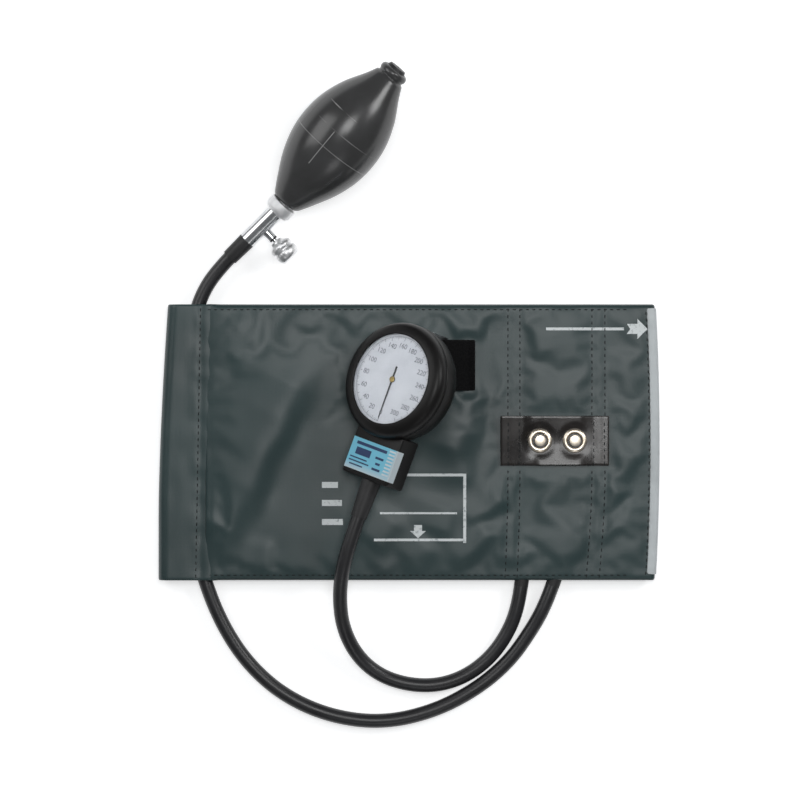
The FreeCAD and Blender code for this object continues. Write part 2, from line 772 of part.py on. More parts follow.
def rocker():
    low = rocker_finger_y - rocker_finger_w / 2
    shaft = rod(rocker_r, rocker_lug_y + rocker_end - low, (rocker_x, low, rocker_z),
                Y_AXIS)
    half = rocker_arm_t / 2
    arm = block(rocker_x - rocker_arm, -rocker_arm_w / 2, rocker_z - half,
                rocker_x, rocker_arm_w / 2, rocker_z + half)
    finger = block(rocker_x - rocker_finger_w / 2, low, rocker_z,
                   rocker_x + rocker_finger_w / 2, low + rocker_finger_w, rocker_finger_top)
    gauge_parts["rocking_shaft"] = shaft.fuse(arm).fuse(finger)


def hairspring():
    """Half rings with their centres on either side of the arbor make a flat spiral."""
    spiral = None
    radius = spring_in_r
    shift = 0.0
    for turn in range(2 * spring_turns):
        upper = turn % 2 == 0
        tube = ring(radius + spring_w, radius, spring_h, (shift, 0, spring_z))
        reach = radius + spring_w + 1
        y0, y1 = (0, reach) if upper else (-reach, 0)
        half = tube.common(block(shift - reach, y0, spring_z, shift + reach, y1,
                                 spring_z + spring_h))
        spiral = half if spiral is None else spiral.fuse(half)
        radius += spring_pitch / 2
        shift += spring_pitch / 2 if upper else -spring_pitch / 2
    gauge_parts["hairspring"] = spiral


def pointer():
    tip = pointer_tip_w / 2
    half = pointer_w / 2
    blade = plate_from([(-half, pointer_tail), (-half, 0), (-tip, -pointer_l),
                        (tip, -pointer_l), (half, 0), (half, pointer_tail)],
                       pointer_z, pointer_t)
    hub = rod(pointer_hub_r, pointer_t, (0, 0, pointer_z))
    gauge_parts["pointer"] = blade.fuse(hub).cut(
        rod(arbor_r + pin_gap / 2, pointer_t, (0, 0, pointer_z)))


def back_clip():
    back = -case_depth
    low = back - clip_t - clip_gap
    plate = block(clip_left, clip_low, back - clip_t, clip_right, clip_top, back)
    leg = block(clip_left, clip_top - clip_t, low - clip_t, clip_right, clip_top, back)
    tongue = block(clip_left, clip_tongue_low, low - clip_t, clip_right, clip_top, low)
    clip = plate.fuse(leg).fuse(tongue)
    screws = []
    for x, y in clip_screw_places:
        clip = clip.cut(rod(clip_screw_r + pin_gap, clip_t, (x, y, back - clip_t)))
        screw = rod(clip_screw_r, clip_t + case_back_t, (x, y, back - clip_t))
        head = rod(clip_screw_head_r, clip_screw_head_t,
                   (x, y, back - clip_t - clip_screw_head_t))
        screws.append(screw.fuse(head))
    gauge_parts["gauge_clip"] = clip.removeSplitter()
    gauge_parts["clip_screws"] = group(screws)


def place_gauge():
    """Tilt the gauge and lower it until its case rests just over the strap."""
    turn = FreeCAD.Rotation(Z_AXIS, gauge_turn).multiply(
        FreeCAD.Rotation(Y_AXIS, gauge_roll))
    tilted = moved(gauge_parts["gauge_case"], FreeCAD.Placement(V(0, 0, 0), turn))
    lowest = tilted.optimalBoundingBox(False, False).ZMin
    gauge_z = cuff_top + strap_t + soft_gap - lowest
    place = FreeCAD.Placement(V(gauge_x, gauge_y, gauge_z), turn)
    for name, shape in gauge_parts.items():
        parts[name] = moved(shape, place)
    return place


# ---- bulb and valve, in their own frames --------------------------------------------------
valve_parts = {}


def bulb():
    """A hollow bulb that carries its collar at 0 and its intake valve at the far end."""
    stations = [V(x, r, 0) for x, r in bulb_profile]
    x_end, r_end = bulb_profile[-1]
    tip = x_end + lip_l
    curve = Part.BSplineCurve()
    curve.interpolate(stations)
    skin = [curve.toShape()]
    corners = [stations[-1], V(x_end + lip_step, lip_r, 0), V(tip - lip_edge, lip_r, 0),
               V(tip, lip_r - lip_edge, 0), V(tip, 0, 0), V(0, 0, 0), stations[0]]
    skin += [Part.LineSegment(a, b).toShape() for a, b in zip(corners, corners[1:])]
    solid = Part.Face(Part.Wire(skin)).revolve(V(0, 0, 0), X_AXIS, 360)

    within = [V(x, r - bulb_wall, 0) for x, r in bulb_profile[1:-1]]
    hollow = Part.BSplineCurve()
    hollow.interpolate(within)
    corners = [within[-1], V(within[-1].x, 0, 0), V(within[0].x, 0, 0), within[0]]
    edges = [hollow.toShape()]
    edges += [Part.LineSegment(a, b).toShape() for a, b in zip(corners, corners[1:])]
    room = Part.Face(Part.Wire(edges)).revolve(V(0, 0, 0), X_AXIS, 360)
    intake = rod(intake_bore_r, tip - within[-1].x + 1, (within[-1].x - 1, 0, 0), X_AXIS)
    return solid.cut(room).cut(intake), tip


def intake_valve(tip):
    mouth = tip - intake_plug_l
    chamber = mouth + intake_lip_t
    plug = rod(intake_bore_r - pin_gap, intake_plug_l, (mouth, 0, 0), X_AXIS)
    flange = cone(intake_flange_r, intake_flange_r - intake_flange_taper,
                  intake_flange_t, (tip, 0, 0), X_AXIS)
    seat = plug.fuse(flange)
    seat = seat.cut(rod(intake_hole_r, intake_plug_l + intake_flange_t, (mouth, 0, 0),
                        X_AXIS))
    seat = seat.cut(rod(check_chamber_r, intake_chamber_t, (chamber, 0, 0), X_AXIS))
    seat = seat.cut(rod(intake_mouth_r, intake_lip_t, (mouth, 0, 0), X_AXIS))
    far_wall = chamber + intake_chamber_t
    disc = rod(check_r, check_t, (far_wall - check_play - check_t, 0, 0), X_AXIS)
    return seat, disc


def valve():
    """Outwards from the bulb: plug, collar, body with its release screw, and hose barb."""
    collar_x = -collar_gap - collar_l
    flat_r = collar_r - collar_edge
    collar = turned([(plug_r + pin_gap, collar_x), (flat_r, collar_x),
                     (collar_r, collar_x + collar_edge),
                     (collar_r, -collar_gap - collar_edge),
                     (flat_r, -collar_gap), (plug_r + pin_gap, -collar_gap)], X_AXIS)
    body = rod(valve_r, valve_l + collar_x, (-valve_l, 0, 0), X_AXIS)
    body = body.fuse(rod(plug_r, plug_l - collar_x, (collar_x, 0, 0), X_AXIS))
    body = body.fuse(rod(barb_r, valve_barb_l, (-valve_l - valve_barb_l, 0, 0), X_AXIS))
    body = body.fuse(rod(release_boss_r, release_boss_l, (release_x, 0, 0), -Y_AXIS))
    bore_end = -valve_l - valve_barb_l
    body = body.cut(rod(valve_bore_r, plug_l - bore_end, (bore_end, 0, 0), X_AXIS))
    body = body.cut(rod(check_chamber_r, plug_l, (0, 0, 0), X_AXIS))
    body = body.cut(rod(needle_r + pin_gap, release_boss_l - release_seat_l + 1,
                        (release_x, -release_seat_l, 0), -Y_AXIS))
    body = body.cut(rod(needle_tip_r + pin_gap * 2, release_seat_l, (release_x, 0, 0),
                        -Y_AXIS))
    bush = ring(check_chamber_r - pin_gap, intake_hole_r, plug_l - check_seat_x,
                (check_seat_x, 0, 0), X_AXIS)
    disc = rod(check_r, check_t, (check_seat_x - check_play - check_t, 0, 0), X_AXIS)

    needle_end = knob_start + knob_l - needle_cover
    tip_y = -release_seat_l - needle_seat_gap
    needle = cone(needle_tip_r, needle_r, needle_cone_l, (release_x, tip_y, 0), -Y_AXIS)
    shank_y = tip_y - needle_cone_l
    needle = needle.fuse(rod(needle_r, needle_end + shank_y, (release_x, shank_y, 0),
                             -Y_AXIS))
    seal = ring(seal_r, needle_r + pin_gap, seal_t, (release_x, -release_boss_l, 0),
                -Y_AXIS)
    knob = cone(knob_neck_r, knob_r, knob_neck_l, (release_x, -knob_start, 0), -Y_AXIS)
    plain = knob_l - knob_neck_l - knob_end_l
    plain_start = knob_start + knob_neck_l
    knob = knob.fuse(rod(knob_r, plain, (release_x, -plain_start, 0), -Y_AXIS))
    knob = knob.fuse(cone(knob_r, knob_end_r, knob_end_l,
                          (release_x, -plain_start - plain, 0), -Y_AXIS))
    for i in range(knob_flutes):
        dz, dx = polar(knob_r, 360 / knob_flutes * i)
        knob = knob.cut(rod(flute_r, knob_l, (release_x + dx, -knob_start, dz), -Y_AXIS))
    socket_l = needle_end - knob_start + 2 * knob_gap
    knob = knob.cut(rod(needle_r + knob_gap, socket_l, (release_x, -knob_start, 0), -Y_AXIS))

    sleeve_end = -valve_l - valve_sleeve_l
    sleeve = cone(valve_sleeve_tip_r, valve_sleeve_r, valve_sleeve_l, (sleeve_end, 0, 0),
                  X_AXIS)
    sleeve = sleeve.cut(rod(hose_d / 2 + hose_gap, valve_sleeve_l, (sleeve_end, 0, 0),
                            X_AXIS))
    valve_parts["bulb_collar"] = collar
    valve_parts["valve_body"] = body
    valve_parts["outlet_seat"] = bush
    valve_parts["outlet_check_disc"] = disc
    valve_parts["release_needle"] = needle
    valve_parts["needle_seal"] = seal
    valve_parts["release_knob"] = knob
    valve_parts["bulb_hose_sleeve"] = sleeve
    return rod(plug_r + pin_gap, plug_l + bulb_neck_l, (-bulb_neck_l, 0, 0), X_AXIS)


def place_bulb():
    """Lay the bulb on the table; the valve leaves its neck at a slight angle."""
    shell, tip = bulb()
    seat, disc = intake_valve(tip)
    plug_room = valve()
    tilt = FreeCAD.Rotation(Y_AXIS, -bulb_tilt)
    bulb_turn = FreeCAD.Rotation(Z_AXIS, bulb_heading).multiply(tilt)
    valve_turn = FreeCAD.Rotation(Z_AXIS, valve_heading).multiply(tilt)
    tilted = moved(shell, FreeCAD.Placement(V(0, 0, 0), bulb_turn))
    neck_z_bulb = floor_gap - tilted.optimalBoundingBox(False, False).ZMin
    neck = V(bulb_x, bulb_y, neck_z_bulb)
    bulb_place = FreeCAD.Placement(neck, bulb_turn)
    valve_place = FreeCAD.Placement(neck, valve_turn)
    parts["bulb"] = moved(shell, bulb_place).cut(moved(plug_room, valve_place))
    parts["intake_valve_seat"] = moved(seat, bulb_place)
    parts["intake_check_disc"] = moved(disc, bulb_place)
    for name, shape in valve_parts.items():
        parts[name] = moved(shape, valve_place)
    return bulb_place, valve_place


# ---- hoses --------------------------------------------------------------------------------
# Corner points of each hose between the straight run out of its fitting and the straight
# run into its bladder neck.  Inside the fold the bulb hose lies on the wrap half.
gauge_hose_corners = ((-32.4, -64.5, 30.4), (-34.2, -80.0, 23.6), (-32.6, -96.5, 14.8),
                      (-25.6, -111.5, 8.2), (-14.2, -122.0, 4.8), (0.6, -127.3, floor_z),
                      (16.5, -128.0, floor_z), (31.5, -123.3, floor_z),
                      (44.6, -113.6, floor_z), (54.0, -100.4, 4.6))
bulb_hose_corners = ((-105.5, 80.5, 6.2), (-111.5, 63.0, hose_fold_z),
                     (-115.0, 40.0, hose_fold_z), (-116.3, 12.0, hose_fold_z),
                     (-115.6, -17.0, hose_fold_z), (-112.2, -45.0, hose_fold_z),
                     (-105.8, -71.0, hose_fold_z), (-96.5, -95.0, 4.6),
                     (-83.0, -116.0, floor_z), (-64.0, -133.0, floor_z),
                     (-39.5, -144.0, floor_z), (-12.0, -147.5, floor_z),
                     (15.0, -141.5, floor_z), (38.0, -129.5, floor_z),
                     (55.0, -115.0, floor_z), (66.5, -98.5, 4.5))
hose_exit_run = 20.0
valve_exit_run = 10.0
hose_neck_run = 11.0
arc_share = 0.45           # of the shorter run beside a corner


def tube(name, route, diameter):
    """Straight runs joined by tangent arcs, swept with the hose's round section."""
    points = [V(*p) for p in route]
    runs = [b - a for a, b in zip(points, points[1:])]
    edges = []
    radii = []
    here = points[0]
    for i in range(1, len(points) - 1):
        back = V(runs[i - 1]).normalize()
        ahead = V(runs[i]).normalize()
        half_turn = back.getAngle(ahead) / 2
        reach = arc_share * min(runs[i - 1].Length, runs[i].Length)
        radius = reach / math.tan(half_turn)
        into = points[i] - back * reach
        out = points[i] + ahead * reach
        inward = (ahead - back).normalize()
        crown = points[i] + inward * (radius / math.cos(half_turn) - radius)
        edges.append(Part.LineSegment(here, into).toShape())
        edges.append(Part.Arc(into, crown, out).toShape())
        radii.append(radius)
        here = out
    edges.append(Part.LineSegment(here, points[-1]).toShape())
    path = Part.Wire(edges)
    section = Part.Wire(Part.Circle(points[0], runs[0], diameter / 2).toShape())
    solid = path.makePipeShell([section], True, False)
    expected = math.pi * diameter ** 2 / 4 * path.Length
    print(name, "length", round(path.Length, 1), "mm, volume over section times length",
          round(solid.Volume / expected, 4))
    print("  radii", [round(radius) for radius in radii])
    print("  route", [tuple(round(c, 2) for c in point) for point in points])
    return solid


def hoses(gauge_place, valve_place):
    neck_a, neck_b = bladder_necks()
    stem_end = neck_end - barb_l
    route = [gauge_place.multVec(V(0, stem_end, stem_z)),
             gauge_place.multVec(V(0, stem_end - hose_exit_run, stem_z))]
    route += gauge_hose_corners
    route += [neck_a[0] - neck_a[1] * hose_neck_run, neck_a[0]]
    parts["gauge_hose"] = tube("gauge_hose", route, hose_d)

    barb_end = -valve_l - valve_barb_l
    route = [valve_place.multVec(V(barb_end, 0, 0)),
             valve_place.multVec(V(barb_end - valve_exit_run, 0, 0))]
    route += bulb_hose_corners
    route += [neck_b[0] - neck_b[1] * hose_neck_run, neck_b[0]]
    parts["bulb_hose"] = tube("bulb_hose", route, hose_d)


# ---- build and write ----------------------------------------------------------------------
cuff_panels()
cuff_hems()
cuff_fold()
wrap_half()
bladder()
clasp()
gauge_case()
gauge_front()
neck_label()
gauge_stem()
capsule()
movement_frame()
gears()
rocker()
hairspring()
pointer()
back_clip()
gauge_place = place_gauge()
gauge_strap(gauge_place.Base)
bulb_place, valve_place = place_bulb()
hoses(gauge_place, valve_place)

os.makedirs("parts", exist_ok=True)
for name, shape in parts.items():
    shape.exportStep("parts/" + name + ".step")


def world(place, x, y, z):
    return tuple(round(c / 1000, 6) for c in place.multVec(V(x, y, z)))


print(len(parts), "nodes")
print("gauge origin", world(gauge_place, 0, 0, 0))
print("sector pivot", world(gauge_place, sector_pivot_x, sector_pivot_y, 0))
print("rocker axis", world(gauge_place, rocker_x, 0, rocker_z))
print("gauge Y", tuple(gauge_place.Rotation.multVec(Y_AXIS)))
print("gauge Z", tuple(gauge_place.Rotation.multVec(Z_AXIS)))
print("release axis", world(valve_place, release_x, 0, 0))
print("release out", tuple(valve_place.Rotation.multVec(-Y_AXIS)))
print("valve X", tuple(valve_place.Rotation.multVec(X_AXIS)))
print("bulb X", tuple(bulb_place.Rotation.multVec(X_AXIS)))
print("bulb origin", world(bulb_place, 0, 0, 0))
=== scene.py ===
from math import atan2, cos, exp, hypot, pi, radians, sin, sqrt
import bpy
from mathutils import Matrix, Vector, noise


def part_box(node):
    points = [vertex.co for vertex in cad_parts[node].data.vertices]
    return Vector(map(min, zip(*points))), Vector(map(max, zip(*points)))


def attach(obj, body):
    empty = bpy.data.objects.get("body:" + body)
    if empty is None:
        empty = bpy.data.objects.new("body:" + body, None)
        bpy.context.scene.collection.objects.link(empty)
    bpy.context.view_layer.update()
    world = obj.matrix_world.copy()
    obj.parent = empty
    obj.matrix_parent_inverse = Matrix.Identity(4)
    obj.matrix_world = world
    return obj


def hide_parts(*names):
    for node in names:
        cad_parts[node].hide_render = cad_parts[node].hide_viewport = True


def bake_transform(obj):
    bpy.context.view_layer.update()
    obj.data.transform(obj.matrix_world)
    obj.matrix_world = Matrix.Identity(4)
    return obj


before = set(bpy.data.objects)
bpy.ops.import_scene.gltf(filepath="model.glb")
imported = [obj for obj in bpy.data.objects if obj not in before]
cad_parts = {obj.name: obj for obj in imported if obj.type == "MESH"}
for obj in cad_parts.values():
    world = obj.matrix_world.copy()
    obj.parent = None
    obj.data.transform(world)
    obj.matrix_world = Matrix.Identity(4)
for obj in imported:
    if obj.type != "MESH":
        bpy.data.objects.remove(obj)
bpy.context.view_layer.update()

# Looks of an aneroid sphygmomanometer: cuff, dial gauge on its strap, hoses, bulb and valve.
# Metres, in the part's own frame: X along the cuff, Y across it, Z up, table at Z = 0.
MM = 0.001


# ---- Studio ----
# A white table seen straight from above through a long lens, four soft boxes and a dim room.
# The table takes the shadows, and reads white to the camera, to gloss and to glass.
def linear(colour):
    """Linear red, green, blue and alpha of an sRGB hex colour."""
    out = []
    for i in (0, 2, 4):
        c = int(colour[i:i + 2], 16) / 255
        out.append(c / 12.92 if c <= 0.04045 else ((c + 0.055) / 1.055) ** 2.4)
    return (*out, 1.0)


def add_node(mat, kind, inputs=None, **settings):
    """Add a node, with its settings, and with its inputs set or linked from an output."""
    made = mat.node_tree.nodes.new("ShaderNode" + kind)
    for name, value in settings.items():
        setattr(made, name, value)
    for name, value in (inputs or {}).items():
        if isinstance(value, bpy.types.NodeSocket):
            mat.node_tree.links.new(value, made.inputs[name])
        else:
            made.inputs[name].default_value = value
    return made


def blank_material(name):
    """A new material with an empty node tree."""
    mat = bpy.data.materials.new(name)
    mat.use_nodes = True
    mat.node_tree.nodes.clear()
    return mat


def show(mat, shader_output):
    """Send a shader to the material's output."""
    add_node(mat, "OutputMaterial", {"Surface": shader_output})
    return mat


def maths(mat, operation, *values):
    """The result of one maths node, from two or three numbers or outputs."""
    return add_node(mat, "Math", dict(enumerate(values)), operation=operation).outputs[0]


bpy.context.scene.view_settings.view_transform = "Standard"

view_px = 800
mm_per_px = 0.5235         # at the height of the cuff's face
cuff_face_z = 11.1 * MM
camera_up = 1.9
view_width = view_px * mm_per_px * MM
view_centre = (-2.6 * MM, 22.2 * MM)

bpy.ops.object.camera_add(location=(*view_centre, camera_up + cuff_face_z))
camera = bpy.context.object
camera.data.sensor_width = 36.0
camera.data.lens = camera.data.sensor_width * camera_up / view_width
camera.data.clip_end = 20.0
bpy.context.scene.camera = camera

soft_boxes = (("box_top", (0.14, 0.33, 2.10), 0.72, 12.0),       # place, size, power
              ("box_left", (-0.85, 0.50, 0.75), 0.70, 3.8),
              ("box_right", (0.85, 0.45, 0.80), 0.40, 4.0),
              ("box_low", (0.10, -0.95, 0.85), 0.40, 0.8))
for name, place, size, power in soft_boxes:
    bpy.ops.object.light_add(type="AREA", location=place)
    lamp = bpy.context.object
    lamp.name = name
    lamp.data.shape = "SQUARE"
    lamp.data.size = size
    lamp.data.energy = power
    lamp.rotation_euler = (-Vector(place)).to_track_quat("-Z", "Y").to_euler()

room = bpy.data.worlds.new("pale_room")
bpy.context.scene.world = room
room.use_nodes = True
room.node_tree.nodes.clear()
rays = add_node(room, "LightPath").outputs
seen = maths(room, "MAXIMUM", rays["Is Camera Ray"], rays["Is Transmission Ray"])
dim = add_node(room, "Background", {"Color": linear("F2F5F8"), "Strength": 0.16})
white = add_node(room, "Background", {"Color": linear("FFFFFF"), "Strength": 1.0})
room_mix = add_node(room, "MixShader", {0: seen, 1: dim.outputs[0], 2: white.outputs[0]})
add_node(room, "OutputWorld", {"Surface": room_mix.outputs[0]})

table_size = 6.0
table_glow = 0.55
bpy.ops.mesh.primitive_plane_add(size=table_size, location=(0, 0, 0))
table = bpy.context.object
table.name = "table"
white_table = blank_material("white_laminate_table")
rays = add_node(white_table, "LightPath").outputs
seen = maths(white_table, "MAXIMUM", rays["Is Camera Ray"], rays["Is Glossy Ray"])
seen = maths(white_table, "MAXIMUM", seen, rays["Is Transmission Ray"])
laminate = add_node(white_table, "BsdfPrincipled",
                    {"Base Color": linear("E6E7E8"), "Roughness": 0.6,
                     "Emission Color": linear("FFFFFF"),
                     "Emission Strength": maths(white_table, "MULTIPLY", seen, table_glow)})
show(white_table, laminate.outputs[0])
table.data.materials.append(white_table)


# ---- Hoses ----
# Two extruded black rubber hoses, 7.5 mm across: one from the gauge's stem and one from the
# valve, both pushed over the bladder's necks at the lower hem.  They lie loose on the table.
def object_material(name):
    """A blank material, and the object coordinates for its textures."""
    mat = blank_material(name)
    return mat, add_node(mat, "TexCoord").outputs["Object"]


def clouds(mat, where, size_mm, detail=2.0, **more):
    """A noise from 0 to 1, with clouds of about this size."""
    return add_node(mat, "TexNoise",
                    {"Vector": where, "Scale": 1 / (size_mm * MM), "Detail": detail,
                     **more}).outputs["Fac"]


def two_tone(mat, value, tones, stops=(0.0, 1.0)):
    """A colour that runs from one tone to the other while the value runs between the stops."""
    ramp = add_node(mat, "ValToRGB", {"Fac": value})
    for element, stop, tone in zip(ramp.color_ramp.elements, stops, tones):
        element.position = stop
        element.color = linear(tone)
    return ramp.outputs["Color"]


def spread(mat, value, low, high, start=0.0, end=1.0):
    """Low to high, while a value runs from start to end."""
    return add_node(mat, "MapRange",
                    {"Value": value, "From Min": start, "From Max": end, "To Min": low,
                     "To Max": high}).outputs[0]


def relief(mat, height, strength, depth_mm, **more):
    """The normals of a height, drawn in relief."""
    return add_node(mat, "Bump",
                    {"Height": height, "Strength": strength, "Distance": depth_mm * MM,
                     **more}).outputs["Normal"]


def surface(mat, colour, roughness, **more):
    """Close a material with a principled shader; _ stands for a space in an input's name."""
    inputs = {name.replace("_", " "): value for name, value in more.items()}
    shader = add_node(mat, "BsdfPrincipled",
                      {"Base Color": colour, "Roughness": roughness, **inputs})
    return show(mat, shader.outputs[0])


def clouded(name, tones, cloud, stops, rough, grain=None, **more):
    """A surface whose tone, and roughness if it has two values, drift in a cloud (size,
    detail), with a fine grain (size, detail, strength, depth) in relief."""
    mat, where = object_material(name)
    drift = clouds(mat, where, *cloud)
    if grain:
        more["Normal"] = relief(mat, clouds(mat, where, *grain[:2]), *grain[2:])
    gloss = spread(mat, drift, *rough) if isinstance(rough, tuple) else rough
    return surface(mat, two_tone(mat, drift, tones, stops), gloss, **more)


def rubber(name, colour, bloom, roughness, grain_mm, gloss=0.35):
    """Moulded or extruded black rubber: satin, with a paler bloom in soft patches."""
    return clouded(name, (colour, bloom), (14, 4.0), (0.35, 0.75),
                   (roughness - 0.05, roughness + 0.08), (grain_mm, 2.0, 0.12, 0.1),
                   Specular_IOR_Level=gloss)


hose_rubber = rubber("extruded_hose_rubber", "222224", "2D2D2F", 0.34, 0.5, gloss=0.5)
hose_d = 7.5 * MM
gauge_hose_route = ((-19.99, -27.19, 33.03), (-26.83, -45.99, 33.03), (-32.4, -64.5, 30.4),
                    (-34.2, -80.0, 23.6), (-32.6, -96.5, 14.8), (-25.6, -111.5, 8.2),
                    (-14.2, -122.0, 4.8), (0.6, -127.3, 3.8), (16.5, -128.0, 3.8),
                    (31.5, -123.3, 3.8), (44.6, -113.6, 3.8), (54.0, -100.4, 4.6),
                    (59.35, -86.36, 6.35), (60.88, -75.47, 6.35))
bulb_hose_route = ((-88.51, 100.09, 9.65), (-95.6, 93.25, 7.91), (-105.5, 80.5, 6.2),
                   (-111.5, 63.0, 5.65), (-115.0, 40.0, 5.65), (-116.3, 12.0, 5.65),
                   (-115.6, -17.0, 5.65), (-112.2, -45.0, 5.65), (-105.8, -71.0, 5.65),
                   (-96.5, -95.0, 4.6), (-83.0, -116.0, 3.8), (-64.0, -133.0, 3.8),
                   (-39.5, -144.0, 3.8), (-12.0, -147.5, 3.8), (15.0, -141.5, 3.8),
                   (38.0, -129.5, 3.8), (55.0, -115.0, 3.8), (66.5, -98.5, 4.5),
                   (73.51, -85.66, 6.35), (77.27, -75.32, 6.35))


def lay_hose(name, route, node):
    """Draw a hose as a round NURBS cord through the points of its route."""
    line = bpy.data.curves.new(name, "CURVE")
    line.dimensions = "3D"
    spline = line.splines.new("NURBS")
    spline.points.add(len(route) - 1)
    for point, (x, y, z) in zip(spline.points, route):
        point.co = (x * MM, y * MM, z * MM, 1.0)
    spline.order_u = 3
    spline.use_endpoint_u = True
    spline.resolution_u = 10
    line.bevel_depth = hose_d / 2
    line.bevel_resolution = 6
    line.use_fill_caps = True
    hose = bpy.data.objects.new(name, line)
    bpy.context.collection.objects.link(hose)
    line.materials.append(hose_rubber)
    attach(hose, "cuff_and_gauge")
    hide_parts(node)


lay_hose("gauge_hose_line", gauge_hose_route, "gauge_hose")
lay_hose("bulb_hose_line", bulb_hose_route, "bulb_hose")


# ---- Cuff: bladder half ----
# Coated nylon bag over the rubber bladder: cut flat, sewn with the wrong side out and turned,
# so its edges are round, pucker along the seams, and the face lies in broad shallow creases.
def bands(mat, where, direction, pitch_mm, **more):
    """Bands from 0 to 1, square to a direction and so many millimetres apart."""
    scale = 0.314 / (pitch_mm * MM)        # at scale 1 the texture repeats every 0.314
    return add_node(mat, "TexWave", {"Vector": where, "Scale": scale, **more},
                    wave_type="BANDS", bands_direction=direction).outputs["Fac"]


def coated_nylon(name, colour, shade, weave_mm=0.7):
    """PU coated 210D nylon: satin, evenly dyed, with a fine plain weave under the coat.
    The real threads are 0.25 mm apart; they are drawn 0.7 mm apart so that they show."""
    mat, where = object_material(name)
    dye = clouds(mat, where, 45, 3.0, Roughness=0.55)
    weave = {}
    for direction in ("X", "Y"):
        threads = bands(mat, where, direction, weave_mm, Distortion=0.3, Detail=0.0)
        weave = {"Normal": relief(mat, threads, 0.10, 0.05, **weave)}
    return surface(mat, two_tone(mat, dye, (shade, colour), (0.3, 0.7)),
                   spread(mat, dye, 0.36, 0.43), Specular_IOR_Level=0.5,
                   Sheen_Weight=0.03, **weave)


slate_nylon = coated_nylon("coated_nylon_slate", "2C3F40", "28393A")
cuff_right = 131.0
cuff_half_w = 72.5
pouch_left = -104.5        # the flap that runs on to the fold is sewn under this edge
pouch_top = 11.0
pouch_low = 2.1
origin_px = (405, 442.5)   # the part's origin, in pixels of the view
drift_below = -20.0        # the seams stray to the left below this height
seam_rows = ((508, 3), (520, 3), (592, 6), (605, 6))   # column, and how far it strays (px)


def seam_x(row, y):
    """X of a seam row: straight at the top, drawn to the left towards the lower hem."""
    column, stray = row
    share = max(0.0, (drift_below - y) / (cuff_half_w + drift_below)) ** 1.5
    return (column - stray * share - origin_px[0]) * mm_per_px


# flat places: corners, and the distance over which the cloth comes to rest
flat_places = ((48.0, -14.0, 109.0, 16.0, 4.0), (-30.0, 24.0, 3.0, 55.0, 4.0),
               (30.0, 25.0, 36.0, 54.0, 4.0))
# creases: start, end, width of the sloping side and how far it drops; nearly all start at
# their right end, so that they fall towards the lower hem
creases = ((-44.5, 38, -94, -60, 15.0, 3.9), (-55, 14, -80, -32, 10.0, 0.8),
           (-45, 67, -50, 58, 6.0, 0.9), (-74, 69, -76, 51, 3.0, 0.6),
           (-80, 63, -86, 58, 4.0, 0.8), (-19, 68, -24, 59, 6.0, 0.9),
           (9, 69, 4, 60, 5.0, 0.9), (27, 54, 18, 69, 4.5, 1.2),
           (47, 68, 38, 54, 6.0, 1.4), (40.5, 28, 41.5, 62, 3.4, -2.4),
           (42, 27, 29, -10, 10.0, 2.4), (37, 8, 35, -22, 10.0, 1.8),
           (54, -31, 33, -44, 5.5, 1.3), (27, -34, 22, -49, 9.0, 1.3),
           (0, -43, -12, -58, 9.0, 1.5), (16, -57, 6, -67, 7.0, 1.2),
           (49, -51, 28, -66, 5.5, 1.3), (62, -20, 52, -34, 7.0, 1.1),
           (61, -34, 57, -45, 6.0, 0.9), (57, -45, 55, -67, 7.0, 1.0),
           (69, 44, 63, 64, 5.0, 1.1), (67, -57, 60, -67, 6.0, 1.0),
           (121, 16, 114, 6, 5.5, 1.0), (121, -5, 113, -29, 7.0, 1.2),
           (113, -27, 105, -36, 4.5, 0.9), (97, -51, 84, -67, 8.0, 1.4),
           (114, -46, 104, -54, 4.0, 0.8), (-99, -40, -106, -53, 7.0, 0.9),
           (-69, -53, -71, -67, 5.0, 0.8))


def near_band(value, low, high, soft):
    """1 inside a band, falling smoothly to 0 over the soft distance outside it."""
    away = max(low - value, value - high, 0.0) / soft
    return max(0.0, 1.0 - away) ** 2


def ripple(x, y, z):
    """Smooth noise between -1 and 1."""
    return noise.noise(Vector((x, y, z)))


def bell(distance, width):
    """1 on a line, falling to 0 over about twice the width beside it."""
    return exp(-(distance / width) ** 2)


crease_wander = 2.5        # how far a crease strays from its straight line
crease_reach = 3.5         # how many of its slopes a crease is felt for


def crease_height(x, y):
    """Each crease drops over its own width and recovers slowly on both sides of it."""
    total = 0.0
    for x0, y0, x1, y1, width, drop in creases:
        length = hypot(x1 - x0, y1 - y0)
        along = ((x - x0) * (x1 - x0) + (y - y0) * (y1 - y0)) / length
        across = ((x - x0) * (y1 - y0) - (y - y0) * (x1 - x0)) / length
        across += crease_wander * ripple(x * 0.06, y * 0.06, width)
        ends = near_band(along, 0.12 * length, 0.88 * length, 0.25 * length + 3.0)
        step = across / width * 1.3
        shape = bell(step, crease_reach) * (0.4 + step / (1 + step * step))
        total += drop * ends * shape
    return total


def pucker_height(x, y):
    """Small ridges square to the seams, where the thread has drawn the cloth in."""
    total = 0.0
    for edge in (-cuff_half_w, cuff_half_w):
        reach = abs(y - edge)
        wave = sin(x / 3.1 + 5 * ripple(x * 0.04, edge, 1.0))
        total += 0.16 * wave * exp(-reach / 6.0) * min(1.0, reach / 3.0)
    places = [seam_x(row, y) for row in seam_rows] + [cuff_right - 5.0, pouch_left + 1.0]
    for i, place in enumerate(places):
        reach = abs(x - place)
        wave = sin(y / 2.6 + 6 * ripple(i * 3.7, y * 0.05, 2.0))
        strength = 0.5 + 0.5 * ripple(i * 1.3, y * 0.03, 5.0)
        total += 0.20 * wave * strength * exp(-reach / 4.0)
        total -= 0.50 * bell(reach, 1.6)
    return total


